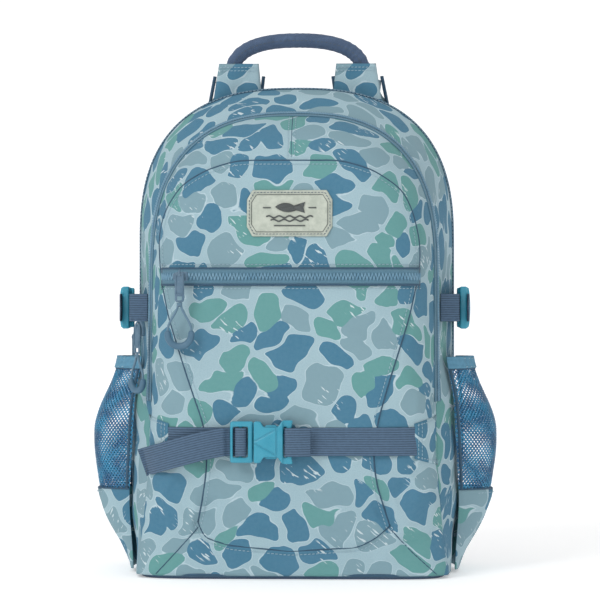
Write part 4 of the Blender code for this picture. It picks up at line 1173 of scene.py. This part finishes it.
def build_side_straps():
    z = SIDE_BUCKLE[2]
    seam = float(zip_plane(z)) + 0.010
    for side, word in SIDES:
        end = (side * (float(side_wall_x(seam, z)) + 0.0012), seam, z)
        path = np.concatenate([side_frame(side, ROUND_BODY), [end]])
        front = carried("side_strap_front_" + word, resample(path, 50, 1), UP, BAND, WEBBING)
        stand_in(front, "slate_webbing", "shell", "side_webbing_front_" + word)
        anchor = side * (float(back_half_width(z)) + 0.0012)
        looped = side_frame(side, ROUND_FRAME)
        tail = looped[-1] + [(side * 0.0006, 0.006, 0), (side * 0.0020, 0.014, 0), (side * 0.0028, 0.024, 0)]
        start = [(anchor, BACK_Y - 0.0005, z), (anchor, SIDE_BUCKLE[1] + 0.038, z)]
        path = np.concatenate([start, looped, tail])
        rear = carried("side_strap_rear_" + word, resample(path, 110, 1), UP, BAND, WEBBING)
        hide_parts("side_webbing_rear_" + word)
        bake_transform(rear, "shell", f"side_buckle_{word}_plug", (anchor, BACK_Y - 0.002, z), (anchor, 0.046, z))


def pocket_reach(z):
    """How far a side pocket stands out: rising from the base, full halfway, gathered in at the mouth."""
    low = 0.0256 * smooth(0.12 + 0.88 * z / MESH_FOOT_Z) + 0.001
    rise = (z - MESH_FOOT_Z) / (POCKET_TOP_Z - MESH_FOOT_Z)
    full = 0.032 * (0.80 + 0.20 * np.sin(math.pi * np.clip(rise / 0.8, 0.0, 1.0)))
    high = full + (0.016 - full) * smooth((rise - 0.45) / 0.55)
    return np.where(z < MESH_FOOT_Z, low, high)


def pocket_point(side, share, z, ruffle=0.0):
    """A point on a side pocket's outer sheet, from its front seam round to its rear one, with its gathers."""
    y = -0.022 + 0.0565 * share
    out = (1 - np.abs(2 * share - 1) ** 2.4) ** 0.8
    gather = ruffle * np.sin(share * 58 + 2.0 * np.sin(z * 90)) * np.sin(math.pi * share) ** 0.5
    x = side_wall_x(y, z) + 0.0032 + pocket_reach(z) * out + gather
    return xyz(side * x, y, z)


def build_side_pockets():
    bands = (("pocket_foot", "pocket_base", FOOT, NET_FOOT_Z, 40, CAMO, "camo_cloth", 0.0016),
             ("net", "mesh_pocket", NET_FOOT_Z, 0.1880, 50, NET, "mesh_net", 0.0),
             ("pocket_band", "pocket_binding", 0.1868, POCKET_TOP_Z, 12, ELASTIC, "elastic", 0.0022))
    share = 0.5 - 0.5 * np.cos(np.linspace(0.0, math.pi, 91))
    for side, word in SIDES:
        for name, node, low, high, steps, finish, slot, thick in bands:
            s, z = np.meshgrid(share, np.linspace(low, high, steps))
            rise = np.clip((z - 0.150) / 0.048, 0.0, 1.0)
            ruffle = 0.0011 * rise ** 1.5 + 0.0005 * np.exp(-((z - 0.078) / 0.012) ** 2)
            grid = pocket_point(side, s, z, ruffle)
            if name == "pocket_foot":
                dent = 0.0009 * np.sin(s * 17 + z * 60) * np.sin(z * 88 + s * 4)
                grid[..., 0] += side * dent * np.sin(math.pi * s)
            start = (0.07 * side, low)
            piece = sheet(name + "_" + word, grid, max(thick, 0.0004), finish, start=start, offset=1.0)
            stand_in(piece, slot, "shell", f"{node}_{word}")
        parts = []
        for z, radius in ((0.0757, 0.0013), (0.1866, 0.0008)):
            line = pocket_point(side, share, z, 0.0004)
            line[:, 0] += side * 0.0006
            parts.append(tube("pocket_seam", line, radius, TAPE_DARK, 8))
        for end in (0.012, 0.988):
            zs = np.linspace(0.0757, 0.196, 60)
            parts.append(tube("pocket_edge", pocket_point(side, end, zs), 0.0014, TAPE_DARK, 8))
        stand_in(join("pocket_seams_" + word, parts), "elastic", "shell")
        rows = []
        for z in (0.1885, 0.1962, 0.0725):
            line = pocket_point(side, share, z, 0.0011 if z > 0.1 else 0.0004)
            line[:, 0] += side * 0.0024
            normal = unit(line - [side * 0.12, 0.009, 0.0] - line * [0, 0, 1])
            rows.append(stitch_line("pocket_stitches", line, normal, STITCH, 0.0034))
        stand_in(join("pocket_stitches_" + word, rows), "elastic", "shell")


def build_handle():
    a = np.linspace(math.pi, 0.0, 121)
    c, s = np.cos(a), np.sin(a)
    x = 0.0635 * signed_power(c, 0.85)
    path = xyz(x, 0.0845, 0.457 + 0.042 * np.abs(s) ** 0.62)
    path = resample(path, 190, 2)
    run = lengths(path)
    middle = np.abs(run / run[-1] - 0.5) * 2
    wrinkle = 0.00028 * np.sin(run * 900 + 2 * np.sin(run * 130)) * (0.35 + 0.65 * np.abs(np.sin(run * 55)))
    radius = 0.0070 + wrinkle * (0.4 + 0.6 * smooth((middle - 0.3) / 0.5))
    radius -= 0.0008 * smooth((middle - 0.90) / 0.1)
    grip = tube("handle_grip", path, radius, HANDLE_CLOTH, 24)
    stand_in(grip, "slate_webbing", "handle", "grab_handle")
    seam = path[6:-6] + [0.0, -0.0069, -0.0008]
    sewn = stitch_line("handle_stitches", seam, np.tile([0.0, -0.0068, 0.0], (178, 1)), STITCH_DARK, 0.0038)
    stand_in(sewn, "slate_webbing", "handle")


def slab(name, grid, thick, finish, crown=0.0):
    """A soft flat piece: its thickness swells over the middle and falls away at its rounded edges."""
    rows, columns = grid.shape[:2]
    u = np.abs(np.linspace(-1, 1, columns))[None, :]
    v = np.abs(np.linspace(-1, 1, rows))[:, None]
    full = (1 - u ** 6) ** 0.5 * (1 - v ** 8) ** 0.5
    dv, du = np.gradient(grid, axis=0), np.gradient(grid, axis=1)
    normal = unit(np.cross(du, dv))
    half = (thick / 2 * full + crown * full * (1 - u ** 2))[..., None]
    front, back = grid + normal * half, grid - normal * half
    uv = cloth_uv(grid)
    points = np.concatenate([front.reshape(-1, 3), back.reshape(-1, 3)])
    faces = grid_quads(rows, columns)
    made = mesh_object(name, points, np.concatenate([faces, faces[:, ::-1] + rows * columns]),
                       np.concatenate([uv.reshape(-1, 2)] * 2), finish)
    weld(made)
    return made


def weld(piece, near=0.00002):
    """Merges points that lie together, so that seams and poles are closed."""
    bm = bmesh.new()
    bm.from_mesh(piece.data)
    bmesh.ops.remove_doubles(bm, verts=bm.verts, dist=near)
    bmesh.ops.recalc_face_normals(bm, faces=bm.faces)
    bm.to_mesh(piece.data)
    bm.free()
    piece.data.shade_smooth()


def strap_line(t):
    """A shoulder strap's middle: it hangs in a half sine's bow and spreads outwards by a quarter sine."""
    y = 0.1005 + 0.020 * np.sin(math.pi * t) - 0.006 * t
    return xyz(0.057 + 0.034 * np.sin(math.pi * 0.5 * t), y, 0.466 - 0.316 * t)


def inflate(piece, reach):
    """Swells a pad by a short cloth simulation with air inside it, holding each point within a reach."""
    before = piece.modifiers.new("remesh", "REMESH")
    before.mode = "VOXEL"
    before.voxel_size = 0.0042
    bake_modifiers(piece)
    rest = points_of(piece)
    cloth = piece.modifiers.new("cloth", "CLOTH")
    cloth.settings.use_pressure = True
    cloth.settings.uniform_pressure_force = 4.0
    cloth.settings.effector_weights.gravity = 0.0
    cloth.settings.quality = 5
    scene = bpy.context.scene
    for step in range(1, 21):
        scene.frame_set(step)
    bake_modifiers(piece)
    scene.frame_set(1)
    moved = points_of(piece) - rest
    far = np.linalg.norm(moved, axis=1, keepdims=True)
    moved *= np.minimum(1.0, reach / np.maximum(far, 1e-9))
    set_points(piece, rest + moved)
    finer = piece.modifiers.new("finer", "SUBSURF")
    finer.levels = finer.render_levels = 1
    bake_modifiers(piece)
    piece.data.shade_smooth()


def points_of(piece):
    co = np.zeros(len(piece.data.vertices) * 3, np.float32)
    piece.data.vertices.foreach_get("co", co)
    return co.reshape(-1, 3).astype(float)


def set_points(piece, points):
    piece.data.vertices.foreach_set("co", points.astype(np.float32).ravel())
    piece.data.update()


def bake_modifiers(piece):
    """Makes a piece's modified shape its own mesh."""
    bpy.context.view_layer.update()
    made = bpy.data.meshes.new_from_object(piece.evaluated_get(bpy.context.evaluated_depsgraph_get()))
    piece.modifiers.clear()
    piece.data = made


def build_straps():
    t = np.linspace(0.0, 1.0, 91)
    for side, word in SIDES:
        line = strap_line(t)
        wide = 0.048 * (1 + 0.15 * np.sin(math.pi * t))
        share = np.linspace(-0.5, 0.5, 25)
        grid = np.stack([line + xyz(w * wide, 0.0, 0.0) for w in share])
        grid[..., 0] *= side
        grid = grid if side > 0 else grid[::-1]
        pad = slab("shoulder_pad_" + word, grid, 0.0074, CAMO_STRAP, 0.0004)
        inflate(pad, 0.0022)
        stand_in(pad, "camo_cloth", "shell", "shoulder_strap_" + word)
        outer = unit(np.cross(np.gradient(line, axis=0), [1.0, 0.0, 0.0]))
        outer *= np.sign(outer[:, 1:2])
        parts, rows = [], []
        for w in (-0.5, 0.5):
            edge = line + xyz(w * (wide - 0.001), 0.0, 0.0)
            parts.append(tube("strap_edge", edge * [side, 1, 1], 0.0017, TAPE_DARK, 8))
            inner = line + xyz(w * (wide - 0.012), 0.0, 0.0) + outer * 0.0044
            rows.append(stitch_line("strap_rows", inner * [side, 1, 1], outer * [side, 1, 1], STITCH))
        edges = join("strap_edges_" + word, parts)
        rows = join("strap_rows_" + word, rows)
        band = line[4:80] + outer[4:80] * 0.0052
        web = carried("strap_web_" + word, band * [side, 1, 1], [1.0, 0.0, 0.0],
                      rounded_profile(0.020, 0.0013), WEB_BACK)
        for piece in (edges, rows, web):
            stand_in(piece, "slate_webbing", "shell")

        share = np.linspace(-0.5, 0.5, 25)[:, None]
        rise = np.linspace(0.0, 1.0, 25)[None, :]
        low_x = 0.057 + share * 0.048
        high_x = 0.056 + share * 0.038
        x = side * (low_x + (high_x - low_x) * rise)
        grid = xyz(x, 0.0745 + 0.0005 * np.sin(share * 9 + rise * 5), 0.437 + 0.039 * rise)
        yoke = slab("yoke_" + word, grid if side > 0 else grid[::-1], 0.0042, CAMO_SIDE)
        stand_in(yoke, "camo_cloth", "shell", "strap_yoke_" + word)
        rows = []
        for z0 in (0.4722, 0.4690):
            xs = side * (0.056 + np.linspace(-0.44, 0.44, 20) * 0.039)
            line = xyz(xs, 0.0723, z0)
            rows.append(stitch_line("yoke_rows", line, np.tile([0.0, -1.0, 0.0], (20, 1)), STITCH, 0.0031))
        stand_in(join("yoke_rows_" + word, rows), "camo_cloth", "shell")

        foot = strap_line(np.array([1.0]))[0]
        route = np.array([foot + [0.004, 0.0, -0.0325], (0.122, 0.0925, 0.086), (0.131, 0.0895, 0.072),
                          (0.141, 0.0810, 0.060), (0.143, 0.0735, 0.056)])
        path = resample(route, 60, 4) * [side, 1, 1]
        across = [0.82 * side, 0.0, 0.57]
        web = carried("lower_strap_" + word, path, across, rounded_profile(0.020, 0.0014), WEBBING)
        stand_in(web, "slate_webbing", "shell", "lower_webbing_" + word)


def arch_grid(outline_top, half, foot, y, columns=101, rows=121):
    """A flat panel: columns at even angles, each from the foot up to a superellipse top."""
    u = np.sin(np.linspace(-math.pi / 2, math.pi / 2, columns))
    v = np.linspace(0.0, 1.0, rows)[:, None]
    z = foot + (arch_top(u, outline_top)[None, :] - foot) * v
    return xyz(u[None, :] * half, y, z)


def build_back():
    grid = arch_grid(BAG_HEIGHT, BACK_HALF_WIDTH - 0.0005, FOOT, 0.0712)
    board = sheet("back_cloth", grid, 0.0046, BOARD, core=np.array([0, -5.0, 0.2]))
    stand_in(board, "board", "shell", "back_panel")
    grid = arch_grid(0.440, 0.1372, 0.004, 0.0446)
    wall = sheet("inner_wall", grid, 0.0012, LINING, core=np.array([0, 5.0, 0.2]))
    stand_in(wall, "lining", "shell", "divider")
    half, foot, top = 0.1235, 0.047, 0.4255
    grid = arch_grid(top, half, foot, 0.0735, 121, 161)
    x, z = grid[..., 0], grid[..., 2]
    shoulder = top - CORNER_DROP
    up = np.clip((z - shoulder) / CORNER_DROP, 0, 1)
    rim = np.clip((np.abs(x) / half) ** 2.6 + up ** 2.6, 0, 1)
    low = smooth((z - foot) / 0.012)
    full = (1 - rim ** 7) ** 0.5 * low ** 0.5
    front = grid.copy()
    front[..., 1] = 0.0735 + 0.0105 * full
    points = np.concatenate([front.reshape(-1, 3), grid.reshape(-1, 3)])
    faces = grid_quads(*grid.shape[:2])
    uv = cloth_uv(grid).reshape(-1, 2)
    pad = mesh_object("pad_cover", points, np.concatenate([faces[:, ::-1], faces + x.size]),
                      np.concatenate([uv, uv]), PAD_MESH)
    weld(pad)
    inflate(pad, 0.0030)
    co = points_of(pad)
    x, z = np.abs(co[:, 0]), co[:, 2]
    lines = [np.exp(-(x / 0.0036) ** 2)]
    lines += [np.exp(-((z - at + 0.21 * x) / 0.0034) ** 2) for at in (0.130, 0.215, 0.300, 0.380)]
    deep = np.clip(sum(lines), 0, 1) * smooth((co[:, 1] - 0.0770) / 0.0060)
    co[:, 1] = np.minimum(co[:, 1], 0.0868) - 0.0068 * deep
    set_points(pad, co)
    stand_in(pad, "pad_mesh", "shell", "back_pad")
    ring = hoop(lambda z: np.full(np.shape(z), half + 0.0005), top + 0.0005, foot, 241)
    line = xyz(ring[:, 0], 0.0742, ring[:, 1])
    bottom = xyz(np.linspace(half, -half, 60), 0.0742, foot)
    line = np.concatenate([line, bottom[1:-1], line[:2]])
    cord = tube("pad_binding", line, 0.0018, TAPE_DARK, 8)
    stand_in(cord, "pad_mesh", "shell")


def build_base():
    """A plate whose corners round off as a superellipse, with a soft edge."""
    a = np.linspace(0, 2 * math.pi, 161)[:-1]
    c, s = np.cos(a), np.sin(a)
    power = 2 / 7.0
    x = 0.138 * signed_power(c, power)
    y = -0.0075 + 0.0765 * signed_power(s, power)
    rows = []
    for z, inset in ((0.0, 0.2), (0.0, 0.5), (0.0, 0.985), (0.0006, 0.997), (0.0014, 1.0), (0.0025, 0.992),
                     (0.0025, 0.5)):
        rows.append(xyz(x * inset, -0.0075 + (y + 0.0075) * inset, z))
    grid = np.stack(rows)
    uv = grid[..., :2]
    plate = mesh_object("base_cloth", grid, grid_quads(7, 160, wrap=True)[:, ::-1], uv, BOARD)
    stand_in(plate, "slate_webbing", "shell", "base_panel")
    line = xyz(x, y, 0.0034)
    line = np.concatenate([line, line[:2]])
    line[:, 1] = np.maximum(line[:, 1], -0.0835)
    cord = tube("base_piping", line, 0.0019, TAPE_DARK, 8)
    stand_in(cord, "slate_webbing", "shell")


PULLS = {"pocket": ((-0.099376, -0.097958), 0.2735, (0.996579, -0.082649), (0.0275, 0.041)),
         "main": ((-0.141717, -0.050065), 0.2265, (0.707107, -0.707107), (0.0225, 0.035)),
         "sleeve": ((-0.154300, 0.051000), 0.2145, (0.0, -1.0), (0.0275, 0.041))}


def build_pulls():
    """Each cord leaves its tab, runs down both sides of a bow and carries a thicker grip round its end."""
    for name, ((cx, cy), tab_z, (ax, ay), (width, drop)) in PULLS.items():
        knot = -0.0244
        middle = tab_z - 0.0025
        side = width / 2 - 0.0031
        arc_z = knot - drop + 0.0031 + side
        shoulder = arc_z + 0.0040
        t = np.linspace(0, 1, 15)
        strand_x = side + (0.0012 - side) * smooth(t)
        strand_z = shoulder + (knot - shoulder) * t
        a = np.linspace(0, math.pi, 21)
        right = xyz(strand_x, strand_z)[::-1]
        arc = xyz(side * np.cos(a), arc_z - side * np.sin(a))
        left = xyz(-strand_x, strand_z)
        flat = np.concatenate([right, arc, left])
        flat = resample(flat, 60, 1)

        def place(p):
            return xyz(cx + ax * p[:, 0], cy + ay * p[:, 0], middle + p[:, 1])

        path = place(flat)
        cord = tube(name + "_cord", path, 0.0011, CORD, 10)
        a = np.linspace(-0.38, math.pi + 0.38, 41)
        bow = xyz(side * np.cos(np.clip(a, 0, math.pi)), arc_z - side * np.sin(a))
        run = lengths(bow)
        swell = 0.0030 * (1 - np.abs(2 * run / run[-1] - 1) ** 10) ** 0.5 + 0.0001
        grip = tube(name + "_grip", place(bow), swell, RUBBER, 14)
        off = np.array([ay, -ax, 0.0])
        tilt = np.array([ax, ay, 0.0])
        tab_top = np.array([cx, cy, tab_z])
        rim = resample([(-0.0030, -0.0010), (0.0030, -0.0010), (0.0034, -0.012), (0.0030, -0.0185),
                        (-0.0030, -0.0185), (-0.0034, -0.012), (-0.0030, -0.0010)], 70, 3)
        rim = tab_top + rim[:, :1] * tilt + rim[:, 1:] * UP + off * 0.0010
        rim = tube(name + "_tab_rim", rim, 0.00055, METAL, 8)
        stand_in(rim, "slider_metal", name + "_pull_tab")
        a = np.linspace(0, math.pi, 25)
        arch = xyz(0.0034 * np.cos(a), np.sin(a) ** 0.7)
        arch = tab_top + arch[:, :1] * UP * 0.9 + UP * 0.0003 + off * (arch[:, 1:] * 0.0030 - 0.0016)
        arch = tube(name + "_bridge", arch, 0.0009, METAL, 8)
        stand_in(arch, "slider_metal", name + "_slider")
        a = np.linspace(0, 2 * math.pi, 41)
        winds = xyz(0.0017 * np.cos(2 * a), knot + 0.0006 - 0.0028 * a / (2 * math.pi))
        knot_line = place(winds) + off * (0.0014 * np.sin(2 * a))[:, None]
        tied = tube(name + "_knot", knot_line, 0.0010, CORD, 8)
        stand_in(tied, "pull_rubber", name + "_pull")
        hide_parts(name + "_pull_loop")
        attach(cord, name + "_pull")
        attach(grip, name + "_pull")


def moulded(node, grain, passes, finish, slot, relief=None):
    """A cast piece with softened edges: its CAD shape remeshed finely, then averaged over its neighbours."""
    piece = nodes[node].copy()
    piece.data = nodes[node].data.copy()
    for key in list(piece.keys()):
        del piece[key]
    piece.parent = None
    piece.name = node + "_cast"
    bpy.context.scene.collection.objects.link(piece)
    weld(piece, 0.00001)
    remesh = piece.modifiers.new("remesh", "REMESH")
    remesh.mode = "VOXEL"
    remesh.voxel_size = grain
    soft = piece.modifiers.new("soft", "SMOOTH")
    soft.iterations = passes
    soft.factor = 0.5
    bake_modifiers(piece)
    if relief:
        set_points(piece, relief(points_of(piece)))
    piece.data.shade_smooth()
    piece.data.materials.clear()
    piece.data.materials.append(finish)
    stand_in(piece, slot, body_of(nodes[node])[0], node)
    return piece


def buckle_relief(centre, along, face):
    """Presses a V into a buckle's face and raises an oval crown on it, by the distance to their lines."""
    centre, along, face = np.array(centre), np.array(along), np.array(face)

    def pressed(co):
        local = co - centre
        x, out = local @ along, local @ face
        z = local[:, 2]
        vee = np.abs(np.abs(z) - 0.0015 - 0.55 * (x + 0.006) * (x > -0.006)) * (x < 0.012)
        groove = np.exp(-(vee / 0.0007) ** 2) * (x > -0.007) * (x < 0.0135)
        crown = 0.0012 * np.clip(1 - (z / 0.017) ** 2, 0, 1) * np.clip(1 - ((x - 0.006) / 0.018) ** 2, 0, 1)
        front = smooth((out - 0.0030) / 0.0020)
        return co + face * ((crown - 0.0011 * groove) * front)[:, None]

    return pressed


def build_hardware():
    spots = {"front_buckle": (FRONT_BUCKLE, (1, 0, 0), (0, -1, 0)),
             "side_buckle_left": ((-SIDE_BUCKLE[0], *SIDE_BUCKLE[1:]), (0, -1, 0), (-1, 0, 0)),
             "side_buckle_right": (SIDE_BUCKLE, (0, -1, 0), (1, 0, 0))}
    for name in list(nodes):
        if nodes[name].hide_render:
            continue
        if "buckle" in name:
            which = name.rsplit("_", 2)[0] if name.endswith("arm") else name.rsplit("_", 1)[0]
            relief = buckle_relief(*spots[which]) if name.endswith("_body") else None
            moulded(name, 0.00055, 26 if name.endswith("_body") else 14, BUCKLE, "buckle_plastic", relief)
        elif "ladder" in name:
            moulded(name, 0.0005, 5, BUCKLE, "buckle_plastic")
        elif name.endswith("_slider") or name.endswith("_tab"):
            moulded(name, 0.0003, 3, METAL, "slider_metal")
        else:
            nodes[name].data.materials.clear()
            nodes[name].data.materials.append(TAPE)


def build_stage():
    low = -0.0002
    floor = mesh_object("floor", [(-3, -4, low), (3, -4, low), (3, 3, low), (-3, 3, low)], [[0, 1, 2, 3]])
    f = Finish("floor_paint", roughness=0.9, specular=0.1)
    cloud = f.noise(f.coords("Object"), 1.5, 2.0)
    f.set("Base Color", f.mix(cloud * 0.3, (0.92, 0.92, 0.92, 1.0), (0.89, 0.90, 0.91, 1.0)))
    f.set("Emission Color", (1.0, 1.0, 1.0, 1.0))
    f.set("Emission Strength", 0.30)
    floor.data.materials.append(f.material)
    wall = mesh_object("backdrop", [(-3, 3, -0.1), (3, 3, -0.1), (3, 3, 3), (-3, 3, 3)], [[0, 1, 2, 3]])
    wall.data.materials.append(f.material)
    world = bpy.data.worlds.new("studio")
    bpy.context.scene.world = world
    world.use_nodes = True
    sky = world.node_tree.nodes["Background"]
    sky.inputs["Color"].default_value = (1.0, 1.0, 1.0, 1.0)
    sky.inputs["Strength"].default_value = 0.55
    for name, spot, aim, size, power in (
            ("key", (-1.3, -1.7, 1.7), (0.0, 0.0, 0.22), 1.1, 24.0),
            ("fill", (1.5, -1.9, 0.9), (0.0, 0.0, 0.22), 1.6, 5.0),
            ("top", (0.0, 0.1, 2.2), (0.0, 0.0, 0.22), 1.6, 4.0),
            ("back", (0.6, 2.0, 1.4), (0.0, 0.0, 0.25), 1.5, 4.0)):
        data = bpy.data.lights.new(name, "AREA")
        data.energy = power
        data.size = size
        lamp = bpy.data.objects.new(name, data)
        lamp.location = spot
        lamp.rotation_euler = (Vector(aim) - Vector(spot)).to_track_quat("-Z", "Y").to_euler()
        bpy.context.scene.collection.objects.link(lamp)
    data = bpy.data.cameras.new("camera")
    data.lens = 157.0
    data.sensor_width = 36.0
    data.dof.use_dof = False
    data.clip_end = 50.0
    camera = bpy.data.objects.new("camera", data)
    camera.location = (0.084, -2.425, 0.250)
    aim = Vector((0.008, -0.095, 0.250)) - camera.location
    camera.rotation_euler = aim.to_track_quat("-Z", "Y").to_euler()
    bpy.context.scene.collection.objects.link(camera)
    bpy.context.scene.camera = camera
    bpy.context.scene.view_settings.view_transform = "Standard"


for build in (build_front, build_sides, build_pocket_zip, build_patch, build_front_strap, build_side_straps,
              build_side_pockets, build_handle, build_straps, build_back, build_base, build_pulls,
              build_hardware, build_stage):
    build()
